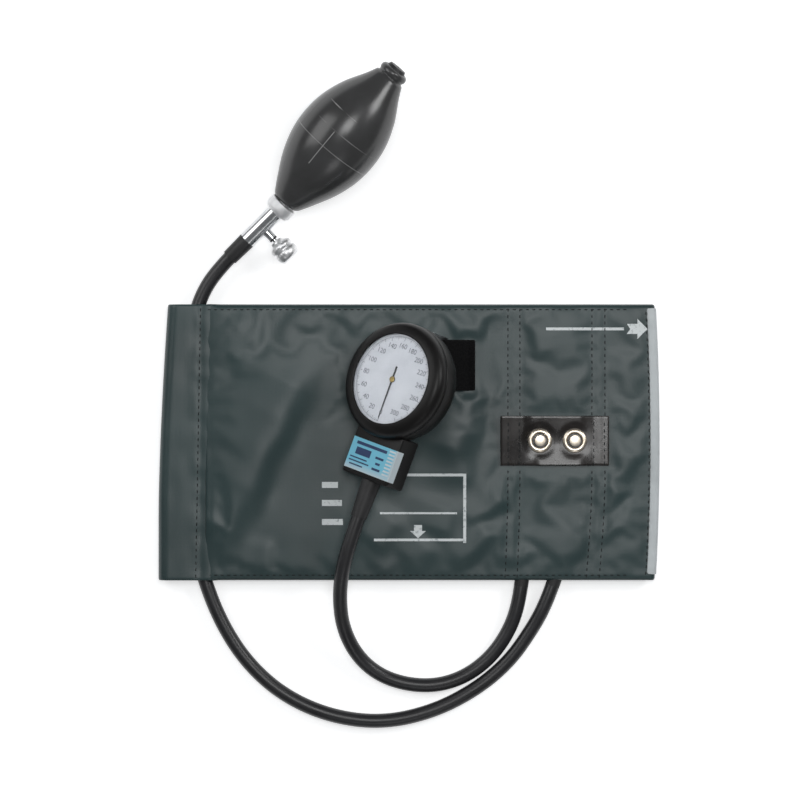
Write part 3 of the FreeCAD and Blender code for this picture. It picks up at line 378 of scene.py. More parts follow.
def face_height(x, y):
    """Height of the cuff's face over its flat level, in millimetres."""
    calm = 1.0
    for x0, y0, x1, y1, soft in flat_places:
        calm = min(calm, 1.0 - near_band(x, x0, x1, soft) * near_band(y, y0, y1, soft))
    low = ripple(x / 38.0, y / 30.0, 3.0) * 0.45
    mid = ripple(x / 13.0, y / 11.0, 7.0) * 0.06
    hem = min((cuff_half_w - abs(y)) / 14.0, (cuff_right - x) / 10.0, 1.0)
    return calm * (0.8 * crease_height(x, y) * max(hem, 0.15) + pucker_height(x, y)
                   + (low + mid) * max(hem, 0.0))


def edge_bow(x, y):
    """The free end bows out between its corners, as the turned seam pulls them in."""
    return 2.0 * (1 - (y / cuff_half_w) ** 2) * max(0.0, (x - 90.0) / (cuff_right - 90.0))


def link_mesh(name, points, faces, edges=()):
    """A new object with a mesh from points in millimetres."""
    mesh = bpy.data.meshes.new(name)
    mesh.from_pydata([[c * MM for c in point] for point in points], edges, faces)
    piece = bpy.data.objects.new(name, mesh)
    bpy.context.collection.objects.link(piece)
    return piece


def grid_faces(rows, wide, base=0):
    """Quads over rows of points, each row so many points wide, from point number base."""
    corners = [base + j * wide + i for j in range(rows - 1) for i in range(wide - 1)]
    return [(a, a + 1, a + wide + 1, a + wide) for a in corners]


def soft_shell(name, x0, x1, y0, y1, low, cell, over):
    """A closed bag: a face and a back of small quads, joined along their edges."""
    nx = round((x1 - x0) / cell)
    ny = round((y1 - y0) / cell)
    grid = [(x0 + (x1 - x0) * i / nx, y0 + (y1 - y0) * j / ny)
            for j in range(ny + 1) for i in range(nx + 1)]
    count = len(grid)
    faces = [quad[::-1] for quad in grid_faces(ny + 1, nx + 1)]
    faces += grid_faces(ny + 1, nx + 1, count)
    ring = list(range(nx)) + [j * (nx + 1) + nx for j in range(ny)]
    ring += [ny * (nx + 1) + i for i in range(nx, 0, -1)]
    ring += [j * (nx + 1) for j in range(ny, 0, -1)]
    for here, after in zip(ring, ring[1:] + ring[:1]):
        faces.append((here, after, after + count, here + count))
    shell = link_mesh(name, [(x, y, low) for x, y in grid]
                      + [(x, y, over(x, y)) for x, y in grid], faces)
    shell.data.validate()
    return shell


def edge_drop(distance, r):
    """How far a rounded edge lies below the face, at a distance in from the edge."""
    if distance >= r:
        return 0.0
    return r - sqrt(max(0.0, r * r - (r - distance) ** 2))


face_r = 2.6               # how round the pouch's edges are
back_r = 1.6
flap_right = -99.0         # left of this the back rests on the fold's flap
flap_z = 9.5


def pouch_face(x, y):
    """Height of the pouch's face, rounded off towards its hems and its left edge."""
    hem = min(cuff_half_w - abs(y), x - pouch_left + 0.6)
    return pouch_top + face_height(x, y) - edge_drop(hem, face_r)


pouch = soft_shell("bladder_pouch", pouch_left, cuff_right, -cuff_half_w, cuff_half_w,
                   pouch_low, 2.2, pouch_face)
for vertex in pouch.data.vertices:
    x, y = vertex.co.x / MM, vertex.co.y / MM
    vertex.co.x += edge_bow(x, y) * MM
    if vertex.co.z < 5 * MM:
        hem = min(cuff_half_w - abs(y), cuff_right - x, x - pouch_left)
        vertex.co.z += edge_drop(hem, back_r) * MM
        if x < flap_right:
            vertex.co.z = flap_z * MM


def pick(*pieces):
    """Select these pieces only, and make the first one active."""
    bpy.ops.object.select_all(action="DESELECT")
    for piece in pieces:
        piece.select_set(True)
    bpy.context.view_layer.objects.active = pieces[0]


def finish_soft(piece, mat, levels=1):
    """Smooth a soft piece with a subdivision and shade it smooth."""
    pick(piece)
    if levels:
        smooth = piece.modifiers.new("smooth", "SUBSURF")
        smooth.levels = smooth.render_levels = levels
        bpy.ops.object.modifier_apply(modifier=smooth.name)
    bpy.ops.object.shade_smooth()
    piece.data.materials.append(mat)
    return piece


def settle(piece, held, pressure, growth, cap, lowest, frames=20):
    """Let a closed bag find its shape: its cloth is a little too large for its seams, which
    are held, and a light pressure fills it.  No point moves farther than the cap, and the
    face stays above the lowest level, which is the top of what lies inside."""
    start = [vertex.co.copy() for vertex in piece.data.vertices]
    pins = piece.vertex_groups.new(name="held")
    pins.add([v.index for v in piece.data.vertices if held(v.co / MM)], 1.0, "REPLACE")
    pick(piece)
    cloth = piece.modifiers.new("settle", "CLOTH")
    made = cloth.settings
    made.quality = 6
    made.mass = 0.05
    made.tension_stiffness = made.compression_stiffness = 20.0
    made.shear_stiffness = 8.0
    made.bending_stiffness = 2.0
    made.use_pressure = True
    made.uniform_pressure_force = pressure
    made.shrink_min = -growth
    made.vertex_group_mass = pins.name
    made.effector_weights.gravity = 0.0
    cloth.collision_settings.use_collision = False
    for frame_number in range(1, frames + 1):
        bpy.context.scene.frame_set(frame_number)
    bpy.ops.object.modifier_apply(modifier=cloth.name)
    bpy.context.scene.frame_set(1)
    piece.vertex_groups.clear()
    for vertex, before in zip(piece.data.vertices, start):
        moved = vertex.co - before
        if moved.length > cap * MM:
            vertex.co = before + moved * (cap * MM / moved.length)
        if before.z > 6 * MM:
            sunk = lowest * MM - vertex.co.z
            if sunk > -0.4 * MM:
                vertex.co.z = (lowest + 0.4 * exp(-(sunk / MM + 0.4) / 0.6)) * MM


def pouch_held(point):
    """True for the seams, the hems, the flat places and the whole back."""
    x, y, z = point
    if z < 6.0 or cuff_half_w - abs(y) < 2.6 or x > cuff_right - 4.0 or x < pouch_left + 6.0:
        return True
    if min(abs(x - seam_x(row, y)) for row in seam_rows) < 1.3:
        return True
    return any(x0 < x < x1 and y0 < y < y1 for x0, y0, x1, y1, soft in flat_places)


settle(pouch, pouch_held, pressure=0.6, growth=0.003, cap=0.7, lowest=10.5)
finish_soft(pouch, slate_nylon)
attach(pouch, "cuff_and_gauge")
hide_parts("cuff_outer_panel", "cuff_inner_panel", "top_hem", "bottom_hem", "end_hem")


# ---- Cuff: fold and wrap half ----
# The same nylon runs on past the pouch's end seam, folds round the bulb's hose at the left
# edge, and lies as a doubled flat sheet under the pouch.
sheet_t = 1.1
cross_points = 73          # across the cuff, on both sheets
fold_start_x = -101.0
fold_axis_x = -124.0
fold_axis_z = 5.55
fold_mid_r = 4.85
fold_seam_x = -107.0       # the stitched line beside the fold
narrowing = 5.0            # the fold is drawn in at its upper corner
narrow_from = -40.0


def evenly(low, high, count):
    """So many even places from one number to another."""
    return [low + (high - low) * i / (count - 1) for i in range(count)]


def fold_path():
    """X and Z of the fold's middle line, from under the pouch's edge round to below it."""
    turns = [pi * i / 16 for i in range(1, 16)]
    return ([(x, fold_axis_z + fold_mid_r) for x in evenly(fold_start_x, fold_axis_x, 15)]
            + [(fold_axis_x - fold_mid_r * sin(turn),
                fold_axis_z + fold_mid_r * cos(turn)) for turn in turns]
            + [(x, fold_axis_z - fold_mid_r + 0.1)
               for x in evenly(fold_axis_x, fold_axis_x + 5.0, 4)])


def on_whole_mesh(operator, **settings):
    """Run an edit mode operator on the whole mesh of the active piece."""
    bpy.ops.object.mode_set(mode="EDIT")
    bpy.ops.mesh.select_all(action="SELECT")
    operator(**settings)
    bpy.ops.object.mode_set(mode="OBJECT")


def sheet_from(name, rows, thickness, mat, levels=1):
    """A sheet through rows of points of equal number, with its thickness to both sides."""
    piece = link_mesh(name, [point for row in rows for point in row],
                      grid_faces(len(rows), len(rows[0])))
    pick(piece)
    thick = piece.modifiers.new("thickness", "SOLIDIFY")
    thick.thickness = thickness * MM
    thick.offset = 0.0
    bpy.ops.object.modifier_apply(modifier=thick.name)
    on_whole_mesh(bpy.ops.mesh.normals_make_consistent, inside=False)
    return finish_soft(piece, mat, levels)


fold_rows = []
for x, z in fold_path():
    row = []
    from_seam = x - fold_seam_x
    away = min(1.0, max(0.0, -from_seam / 14.0))
    for y in evenly(0.1 - cuff_half_w, cuff_half_w - 0.1, cross_points):
        drawn_in = (y - narrow_from) / (cuff_half_w - narrow_from)
        drawn_in = narrowing * max(0.0, drawn_in) ** 1.6 * away
        pucker = sin(y / 2.4 + 4 * ripple(y * 0.05, 4.0, 0.0))
        lift = 0.25 * ripple(x * 0.12, y * 0.07, 1.5)
        lift += 0.16 * pucker * bell(from_seam, 4.0)
        if z > fold_axis_z:
            lift -= 0.45 * bell(from_seam, 1.2)
        row.append((x + drawn_in, y, z + (lift if z > 2.5 else 0.0)))
    fold_rows.append(row)
fold = sheet_from("cuff_fold_cloth", fold_rows, sheet_t, slate_nylon)
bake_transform(fold)
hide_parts("cuff_fold")

wrap_left = -122.6
wrap_right = 90.0
wrap_half_w = 71.5
wrap_z = 0.9
wrap_rows = []
for x in evenly(wrap_left, wrap_right, 108):
    row = []
    for y in evenly(-wrap_half_w, wrap_half_w, cross_points):
        lift = 0.10 * ripple(x * 0.03, y * 0.03, 9.0)
        lift += 0.16 * ripple(x * 0.09, y * 0.07, 4.0)
        lift += 0.10 * sin(x / 3.0) * exp(-(wrap_half_w - abs(y)) / 5.0)
        row.append((x, y, wrap_z + lift))
    wrap_rows.append(row)
wrap = sheet_from("wrap_cloth", wrap_rows, sheet_t, slate_nylon, levels=0)
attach(wrap, "wrap_half")
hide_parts("wrap_panel")


# ---- Index tape ----
# Pale woven tape bound over the free end of the cuff and stitched along its inner edge.
# It shows where the end has to fall when the cuff is round an arm.
def woven_tape(name, colour, shade):
    """Woven polyester tape: matt, with fine ribs across it, a little soiled."""
    mat, where = object_material(name)
    ribs = bands(mat, where, "Y", 0.8, Distortion=0.4)
    soil = clouds(mat, where, 9, 3.0)
    return surface(mat, two_tone(mat, soil, (shade, colour), (0.0, 0.6)), 0.7,
                   Sheen_Weight=0.2, Normal=relief(mat, ribs, 0.3, 0.08))


pale_tape = woven_tape("woven_polyester_tape", "C8CED0", "B0B6B8")
tape_w = 4.6
tape_t = 0.4
tape_rows = []
for y in evenly(3.4 - cuff_half_w, cuff_half_w - 2.2, 90):
    bow = edge_bow(cuff_right, y)
    inner = cuff_right - tape_w + 0.35 * sin(y * 1.8) + bow
    outer = cuff_right + bow
    wave = 0.18 * ripple(0.0, y * 0.12, 8.0)
    tape_rows.append([(inner, y, pouch_top + 0.12 + wave), (outer - 2.6, y, 11.5 + wave),
                      (outer - 0.9, y, 11.3 + wave), (outer + 0.15, y, 10.3),
                      (outer + 0.35, y, 8.6), (outer + 0.3, y, 6.0), (outer + 0.2, y, 3.6),
                      (outer - 0.2, y, 2.4)])
tape = sheet_from("index_tape", tape_rows, tape_t, pale_tape)
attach(tape, "cuff_and_gauge")
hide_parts("index_strip")


# ---- Clasp patch ----
# A rectangle of coated leather cloth, sewn on with two short rows at each end, that carries
# the studs.  Between the rows the two studs draw it up into a glossy swell.
def cells(mat, where, size_mm, feature="F1"):
    """The distances in a pattern of cells of about this size."""
    return add_node(mat, "TexVoronoi", {"Vector": where, "Scale": 1 / (size_mm * MM)},
                    feature=feature).outputs["Distance"]


def leather_cloth(name, colour, crown, grain_mm):
    """PVC leather cloth, embossed with a fine pebble grain: dark, glossy on the crowns."""
    mat, where = object_material(name)
    pebbles = cells(mat, where, grain_mm, "DISTANCE_TO_EDGE")
    wear = clouds(mat, where, 11, 3.0)
    return surface(mat, two_tone(mat, wear, (colour, crown), (0.35, 0.72)),
                   spread(mat, wear, 0.22, 0.34), Specular_IOR_Level=0.5,
                   Coat_Weight=0.25, Coat_Roughness=0.2,
                   Normal=relief(mat, pebbles, 0.40, 0.10))


dark_leather = leather_cloth("pvc_leather_cloth", "15110F", "211B18", 0.9)
patch_low, patch_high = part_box("clasp_patch")
patch_cell = 1.3 * MM
stud_spots = ((70.6, 0.9), (88.8, 0.9))


def block_between(name, low, high):
    """A plain block between two corners."""
    bpy.ops.mesh.primitive_cube_add(size=1.0, location=[(a + b) / 2 for a, b in zip(low, high)])
    block = bpy.context.object
    block.name = name
    block.scale = [b - a for a, b in zip(low, high)]
    bpy.ops.object.transform_apply(location=True, rotation=False, scale=True)
    return block


def sewn_patch(name, low, high, swell, mat):
    """A block of leather cloth with soft cut edges, on a grid fine enough to swell."""
    patch = block_between(name, low, high)
    on_whole_mesh(bpy.ops.mesh.bevel, offset=0.35 * MM, segments=2, affect="EDGES")
    for axis in (0, 1):
        span = high[axis] - low[axis]
        count = round(span / patch_cell)
        for i in range(1, count):
            spot = list(low)
            spot[axis] += span * i / count
            on_whole_mesh(bpy.ops.mesh.bisect, plane_co=spot, plane_no=[1 - axis, axis, 0])
    for vertex in patch.data.vertices:
        if vertex.co.z > high[2] - 0.2 * MM:
            vertex.co.z += swell(vertex.co.x / MM, vertex.co.y / MM) * MM
    bpy.ops.object.shade_smooth()
    patch.data.materials.append(mat)
    return patch


patch_rows = (54.0, 59.8, 98.8, 104.4)    # X of the stitch rows


def clasp_swell(x, y):
    """The patch tips forward at its left end and over the studs, and back below them."""
    lift = 0.12 * ripple(x * 0.08, y * 0.08, 6.0)
    between = near_band(x, 70.0, 92.0, 9.0)
    lift += 0.085 * (y + 13.0) * near_band(x, 48.0, 62.0, 12.0)
    lift += 0.075 * max(0.0, y + 1.0) * between
    lift += 0.13 * max(0.0, -1.0 - y) * between
    for row in patch_rows:
        lift -= 0.14 * bell(x - row, 0.8)
    for sx, sy in stud_spots:
        seat = min(1.0, max(0.0, (hypot(x - sx, y - sy) - 6.3) / 3.0))
        lift = lift * seat + min(lift, 0.0) * (1 - seat)
    return lift


clasp_patch = sewn_patch("clasp_leather", patch_low, patch_high, clasp_swell, dark_leather)
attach(clasp_patch, "cuff_and_gauge")
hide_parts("clasp_patch")


# ---- Studs ----
# Two press studs in nickel, clenched through the clasp patch: a rolled eyelet, and in its
# middle a flat head on a short neck.  The wrap half's keyholes slip over the heads.
def metal(name, colour, dull, roughness, grain_mm):
    """Plated or turned metal: clean in places, duller in others, with fine scratches."""
    return clouded(name, (dull, colour), (5, 4.0), (0.35, 0.65),
                   (roughness + 0.06, roughness - 0.04), (grain_mm, 2.0, 0.06, 0.05),
                   Metallic=1.0)


def turned(name, profile, place, mat, steps=64, sharp=32):
    """Spin a profile of (radius, height) pairs about its own Z, and set it in its place."""
    piece = link_mesh(name, [(r, 0, z) for r, z in profile], [],
                      [(i, i + 1) for i in range(len(profile) - 1)])
    pick(piece)
    on_whole_mesh(bpy.ops.mesh.spin, steps=steps, angle=2 * pi, center=(0, 0, 0), axis=(0, 0, 1))
    on_whole_mesh(bpy.ops.mesh.remove_doubles, threshold=0.002 * MM)
    on_whole_mesh(bpy.ops.mesh.normals_make_consistent, inside=False)
    piece.data.transform(place)
    bpy.ops.object.shade_smooth_by_angle(angle=radians(sharp))
    piece.data.materials.append(mat)
    return piece


def join(*pieces):
    """Join pieces into the first one."""
    pick(*pieces)
    bpy.ops.object.join()
    return pieces[0]


nickel = metal("nickel_plate", "F0E6D6", "D2C6B4", 0.30, 0.6)
eyelet_profile = ((3.75, 0.0), (6.3, 0.0), (6.35, 0.5), (6.2, 1.0), (5.8, 1.35), (5.2, 1.52),
                  (4.6, 1.54), (4.1, 1.38), (3.8, 1.0), (3.75, 0.0))
head_profile = ((0, -1.0), (2.0, -1.0), (2.0, 0.0), (2.1, 0.3), (2.1, 3.0), (2.6, 3.3),
                (3.0, 3.7), (3.05, 4.05), (2.9, 4.3), (2.5, 4.4), (0, 4.45))
studs = [turned("stud", profile, Matrix.Translation((x * MM, y * MM, patch_high[2])), nickel)
         for x, y in stud_spots for profile in (eyelet_profile, head_profile)]
studs = join(*studs)
studs.name = "press_studs"
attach(studs, "cuff_and_gauge")
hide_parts("clasp_studs")


# ---- Gauge strap ----
# A black loop-pile tape sewn flat on the cuff at both ends and standing up between them.
# The hook on the back of the gauge is pushed under it.
def pile(name, colour, tip):
    """Polyester loop pile: black, quite matt, a field of tiny loops with paler tips."""
    mat, where = object_material(name)
    loops = cells(mat, where, 0.9)
    return surface(mat, two_tone(mat, loops, (tip, colour), (0.0, 0.7)), 0.95,
                   Specular_IOR_Level=0.15, Sheen_Weight=0.05,
                   Normal=relief(mat, loops, 0.6, 0.3))


black_pile = pile("polyester_loop_pile", "070708", "141415")
strap_low, strap_high = (corner[1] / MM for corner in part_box("gauge_strap"))    # in Y
strap_t = 1.1
strap_cell = 1.2
strap_points = 23
strap_line = ((-18.0, 11.75), (-10.0, 11.75), (-3.0, 11.85), (3.0, 14.4), (8.0, 18.4),
              (12.0, 20.7), (16.0, 21.3), (20.0, 21.5), (24.0, 18.9), (29.0, 15.2),
              (33.0, 12.1), (34.5, 11.75), (36.8, 11.75))

strap_middle = []          # the strap's middle line, in even small steps
for (xa, za), (xb, zb) in zip(strap_line, strap_line[1:]):
    count = max(1, round(hypot(xb - xa, zb - za) / strap_cell))
    strap_middle += [(xa + k / count * (xb - xa), za + k / count * (zb - za))
                     for k in range(count)]
strap_rows = []
for x, z in strap_middle + [strap_line[-1]]:
    row = [[x, y, z] for y in evenly(strap_low, strap_high, strap_points)]
    for point in (row[0], row[-1]):
        point[1] += 0.12 * ripple(x * 0.9, point[1], 3.0)
    strap_rows.append(row)
strap = sheet_from("strap_pile", strap_rows, strap_t, black_pile)
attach(strap, "cuff_and_gauge")
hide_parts("gauge_strap")


# ---- Prints on the cuff ----
# Pale screen prints that show how the cuff goes on: an arrow to the index end, and a frame
# with a downward arrow that is laid over the artery.  Plain bars stand for the wording.
# plastisol screen ink on cloth: matt, faintly broken where the cloth has moved
print_ink = clouded("plastisol_print", ("9AA3A5", "DCE2E3"), (1.6, 3.0), (0.25, 0.45), 0.6)


def on_cuff(px, py):
    """A place on the cuff, in millimetres, from pixels of the view."""
    return (px - origin_px[0]) * mm_per_px, (origin_px[1] - py) * mm_per_px


ink_cell = 0.7


def print_rows(outline, count):
    """Cross rows between two sides of a shape: outline holds (along, low, high) stations."""
    rows = []
    for (a, low_a, high_a), (b, low_b, high_b) in zip(outline, outline[1:]):
        parts = max(1, round(abs(b - a) * mm_per_px / ink_cell))
        for k in range(parts + 1):
            t = k / parts
            low = low_a + t * (low_b - low_a)
            high = high_a + t * (high_b - high_a)
            rows.append([(a + t * (b - a), low + (high - low) * j / count)
                         for j in range(count + 1)])
    return rows


# all in pixels of the view: left, right, top and bottom of the bars
print_bars = ((407, 464.5, 473.6, 476.4), (380, 457, 512.2, 514.2), (374, 464.5, 538.6, 541.2),
              (546, 624, 327.6, 330.4), (322, 338, 482, 488), (322, 342, 500, 506),
              (322, 343, 519, 525))
# the index arrow's notched tail and head: stations from left to right, and points across
index_arrow = ((((627, 324, 324.2), (630.5, 324, 329.5)), 6),
               (((630.5, 324, 334), (637.5, 324, 334)), 8),
               (((627, 333.8, 334), (630.5, 328.5, 334)), 6),
               (((637.5, 319, 339), (647.5, 328.9, 329.1)), 12))
# the frame's upright and the arrow over the artery: stations from top to bottom
upright_shapes = ((((473.6, 463.2, 466.2), (543, 463.2, 466.2)), 4),
                  (((525, 414, 422), (531, 414, 422)), 6),
                  (((531, 410, 426), (538, 417.9, 418.1)), 10))
cuff_prints = [print_rows(((x0, y0, y1), (x1, y0, y1)), 5) for x0, x1, y0, y1 in print_bars]
cuff_prints += [print_rows(*shape) for shape in index_arrow]
cuff_prints += [[[(across, along) for along, across in row] for row in print_rows(*shape)]
                for shape in upright_shapes]

points = []
faces = []
for rows in cuff_prints:
    faces += grid_faces(len(rows), len(rows[0]), len(points))
    points += [(*on_cuff(px, py), 20) for row in rows for px, py in row]
prints = link_mesh("cuff_prints", points, faces)
for vertex in prints.data.vertices:
    hit, spot, _, _ = pouch.ray_cast(Vector((*vertex.co.xy, 30 * MM)), (0, 0, -1))
    if hit:
        vertex.co.z = spot.z + 0.08 * MM
pick(prints)
on_whole_mesh(bpy.ops.mesh.remove_doubles, threshold=0.01 * MM)
on_whole_mesh(bpy.ops.mesh.normals_make_consistent, inside=False)
if sum(face.normal.z for face in prints.data.polygons) < 0:
    prints.data.flip_normals()
bpy.ops.object.shade_smooth()
prints.data.materials.append(print_ink)
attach(prints, "cuff_and_gauge")


# ---- Gauge: case and bezel ----
# A drum moulded in black ABS with a neck for the stem, closed by a screwed-on bezel ring.
# It hooks over the strap by its back, and leans towards the index end of the cuff.
# moulded black ABS: satin, with faint flow marks and a fine spark-eroded grain
black_plastic = clouded("moulded_black_abs", ("0E0D0D", "151414"), (18, 2.0), (0.35, 0.7),
                        (0.35, 0.43), (0.3, 1.0, 0.10, 0.05), Specular_IOR_Level=0.26)


def placed(x, y, z, turn, lean):
    """A place in millimetres, turned about Z and leaned about its own Y, in degrees."""
    return (Matrix.Translation((x * MM, y * MM, z * MM))
            @ Matrix.Rotation(radians(turn), 4, "Z")
            @ Matrix.Rotation(radians(lean), 4, "Y"))


gauge_place = placed(-6.2, 32.7, 43.016, -20, -37)
neck_half_w = 15.5
neck_top = -26.5
neck_end = -53.0
neck_front = -5.0
case_back = -20.0
case_bore_r = 27.6
stem_bore_r = 2.25

bezel = turned("bezel_ring", ((23.7, 2.1), (23.72, 2.6), (23.95, 2.8), (24.4, 2.85),
                              (25.4, 2.66), (27.0, 2.18), (28.4, 1.55), (29.3, 0.8),
                              (30.0, -0.3), (30.4, -1.4), (30.6, -2.6), (30.6, -4.3),
                              (30.45, -4.55), (30.2, -4.6), (28.1, -4.6), (28.1, 1.1),
                              (26.9, 2.1), (23.7, 2.1)),
               gauge_place, black_plastic, steps=96, sharp=40)
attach(bezel, "cuff_and_gauge")
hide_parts("gauge_bezel")

case = turned("case_shell", ((0, -18.0), (23.5, -18.0), (26.2, -13.5), (27.4, -5.25),
                             (27.4, -2.5), (25.2, -2.5), (25.2, -0.5), (27.1, -0.5),
                             (27.1, 1.0), (28.0, 1.0), (28.0, -4.7), (30.3, -4.7),
                             (30.55, -4.95), (30.6, -5.4), (30.6, -8.6), (30.4, -11.0),
                             (29.7, -13.6), (28.4, -16.2), (26.6, -18.4), (24.6, -19.6),
                             (23.2, -20.0), (0, -20.0)),
              gauge_place, black_plastic, steps=96, sharp=40)
neck_low = Vector((-neck_half_w, neck_end, case_back)) * MM
neck_high = Vector((neck_half_w, neck_top, neck_front)) * MM
neck = block_between("case_neck", neck_low, neck_high)
on_whole_mesh(bpy.ops.mesh.bevel, offset=1.5 * MM, segments=4, affect="EDGES")


def carve(piece, *cutters):
    """Cut pieces out of another one, and delete them."""
    pick(piece)
    for cutter in cutters:
        cut = piece.modifiers.new("carve", "BOOLEAN")
        cut.object = cutter
        cut.operation = "DIFFERENCE"
        cut.solver = "EXACT"
        bpy.ops.object.modifier_apply(modifier=cut.name)
        bpy.data.objects.remove(cutter)


bpy.ops.mesh.primitive_cylinder_add(vertices=96, radius=case_bore_r * MM, depth=30 * MM,
                                    location=(0, 0, -11 * MM))
case_room = bpy.context.object
bpy.ops.mesh.primitive_cylinder_add(vertices=32, radius=stem_bore_r * MM, depth=60 * MM,
                                    location=(0, -45 * MM, -12.5 * MM),
                                    rotation=(radians(90), 0, 0))
carve(neck, case_room, bpy.context.object)
bpy.ops.object.shade_smooth_by_angle(angle=radians(38))
neck.data.transform(gauge_place)
neck.data.materials.append(black_plastic)
case = join(case, neck)
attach(case, "cuff_and_gauge")
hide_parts("gauge_case")


# ---- Gauge: dial, pointer and label ----
# A white dial printed with ticks every 2 mmHg and numbers every 20, clockwise from 0 at the
# bottom to 300, a thin black pointer on a brass hub, and a pale blue label on the neck.
def printed_face(name, colour, shade, gloss):
    """Screen-printed or enamelled sheet: even, a touch greyer in soft clouds."""
    return clouded(name, (shade, colour), (8, 3.0), (0.3, 0.7), gloss)


dial_enamel = printed_face("dial_white_enamel", "BBBABF", "B1B0B6", 0.5)
dial_ink = printed_face("dial_grey_ink", "3A3B40", "4C4D52", 0.6)
zero_at = radians(-90)
degrees_per_mmhg = 332.0 / 300
ink_z = 0.03
scale_r = 22.6
scale_line_r = 22.75
number_r = 17.9
number_size = 3.7 * MM


def dial_spot(mmhg, radius, aside=0.0):
    """A point of the dial's print, with a step aside square to the reading's direction.
    Readings run clockwise from the bottom."""
    angle = zero_at - radians(mmhg * degrees_per_mmhg)
    return (radius * cos(angle) - aside * sin(angle),
            radius * sin(angle) + aside * cos(angle), ink_z)


points = []
faces = []
for mmhg in range(0, 301, 2):
    inner = scale_r - (2.0 if mmhg % 20 == 0 else 1.5 if mmhg % 10 == 0 else 0.9)
    half = 0.13 if mmhg % 10 == 0 else 0.08
    faces.append(range(len(points), len(points) + 4))
    points += [dial_spot(mmhg, r, aside) for r, aside in (
        (scale_r, half), (scale_r, -half), (inner, -half), (inner, half))]
faces += grid_faces(151, 2, len(points))
points += [dial_spot(mmhg, r) for mmhg in range(0, 301, 2) for r in (scale_r, scale_line_r)]
dial_print = link_mesh("dial_print", points, faces)
numbers = []
for mmhg in range(0, 301, 20):
    x, y, z = dial_spot(mmhg, number_r)
    bpy.ops.object.text_add(location=(x * MM, y * MM, z * MM))
    number = bpy.context.object
    number.data.body = str(mmhg)
    number.data.size = number_size
    number.data.align_x = "CENTER"
    number.data.align_y = "CENTER"
    bpy.ops.object.convert(target="MESH")
    bpy.ops.object.transform_apply(location=True, rotation=True, scale=True)
    numbers.append(bpy.context.object)
dial_print = join(dial_print, *numbers)
for face in dial_print.data.polygons:
    if face.normal.z < 0:
        face.flip()
dial_print.data.transform(gauge_place)
dial_print.data.materials.clear()
dial_print.data.materials.append(dial_ink)
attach(dial_print, "cuff_and_gauge")

brass = metal("turned_brass", "A08850", "75633A", 0.36, 0.4)
hub = turned("pointer_hub", ((0, 0.56), (1.5, 0.56), (1.55, 0.7), (1.35, 0.86), (0.6, 0.92),
                             (0, 0.92)), gauge_place, brass, steps=32)
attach(hub, "pointer_set")

label_ink = printed_face("label_navy_ink", "16305C", "1D3B6A", 0.35)
label_white = printed_face("label_white_ink", "D9E3E8", "C8D4DA", 0.35)
label_z = neck_front + 0.34
label_bars = ((-11.5, 9.0, -37.2, -35.6), (-10.5, -0.5, -42.4, -38.6),
              (-13.0, -1.5, -44.6, -43.9), (-13.0, 0.5, -46.4, -45.7),
              (-12.0, -3.0, -48.3, -47.6), (3.0, 8.5, -41.4, -40.2),
              (4.2, 7.3, -44.4, -43.2), (3.0, 8.5, -47.4, -46.2))
label_ticks = tuple((10.4, 14.6, -35.6 - 1.8 * k, -34.7 - 1.8 * k) for k in range(8))


def printed_bars(name, bars, ink):
    """Flat oblongs of ink on the label's face."""
    corners = [(x, y, label_z) for x0, x1, y0, y1 in bars
               for x, y in ((x0, y0), (x1, y0), (x1, y1), (x0, y1))]
    piece = link_mesh(name, corners, [range(a, a + 4) for a in range(0, len(corners), 4)])
    piece.data.transform(gauge_place)
    piece.data.materials.append(ink)
    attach(piece, "cuff_and_gauge")


printed_bars("label_bars", label_bars, label_ink)
printed_bars("label_ticks", label_ticks, label_white)


# ---- Bulb ----
# Dip-moulded black rubber bulb, polished where it is gripped.  The seams of its four-part
# mould have left thin pale lines round its middle.  The pale streak along its top is a painted
# reflection of a strip light, with a small ridge in relief.
def own_axes(mat, where, place, count):
    """The coordinates along the first axes of a place, for textures that follow a piece."""
    local = add_node(mat, "VectorMath", {0: where, 1: place.translation},
                     operation="SUBTRACT").outputs[0]
    return [add_node(mat, "VectorMath", {0: local, 1: place.to_3x3().col[k]},
                     operation="DOT_PRODUCT").outputs["Value"] for k in range(count)]


# rings round the bulb: distance along it, and the noise levels between which they fade in
mould_rings = ((38.4, -0.2, 1.1), (48.5, 0.44, 0.70), (58.8, 0.50, 0.62))
ring_half = 0.24 * MM
# the painted reflection along the bulb's top: how far aside and how wide, where its middle is and
# how far it runs
reflection_side, reflection_half = 2.6 * MM, 0.22 * MM
reflection_middle, reflection_reach = 37.2 * MM, 10.7 * MM


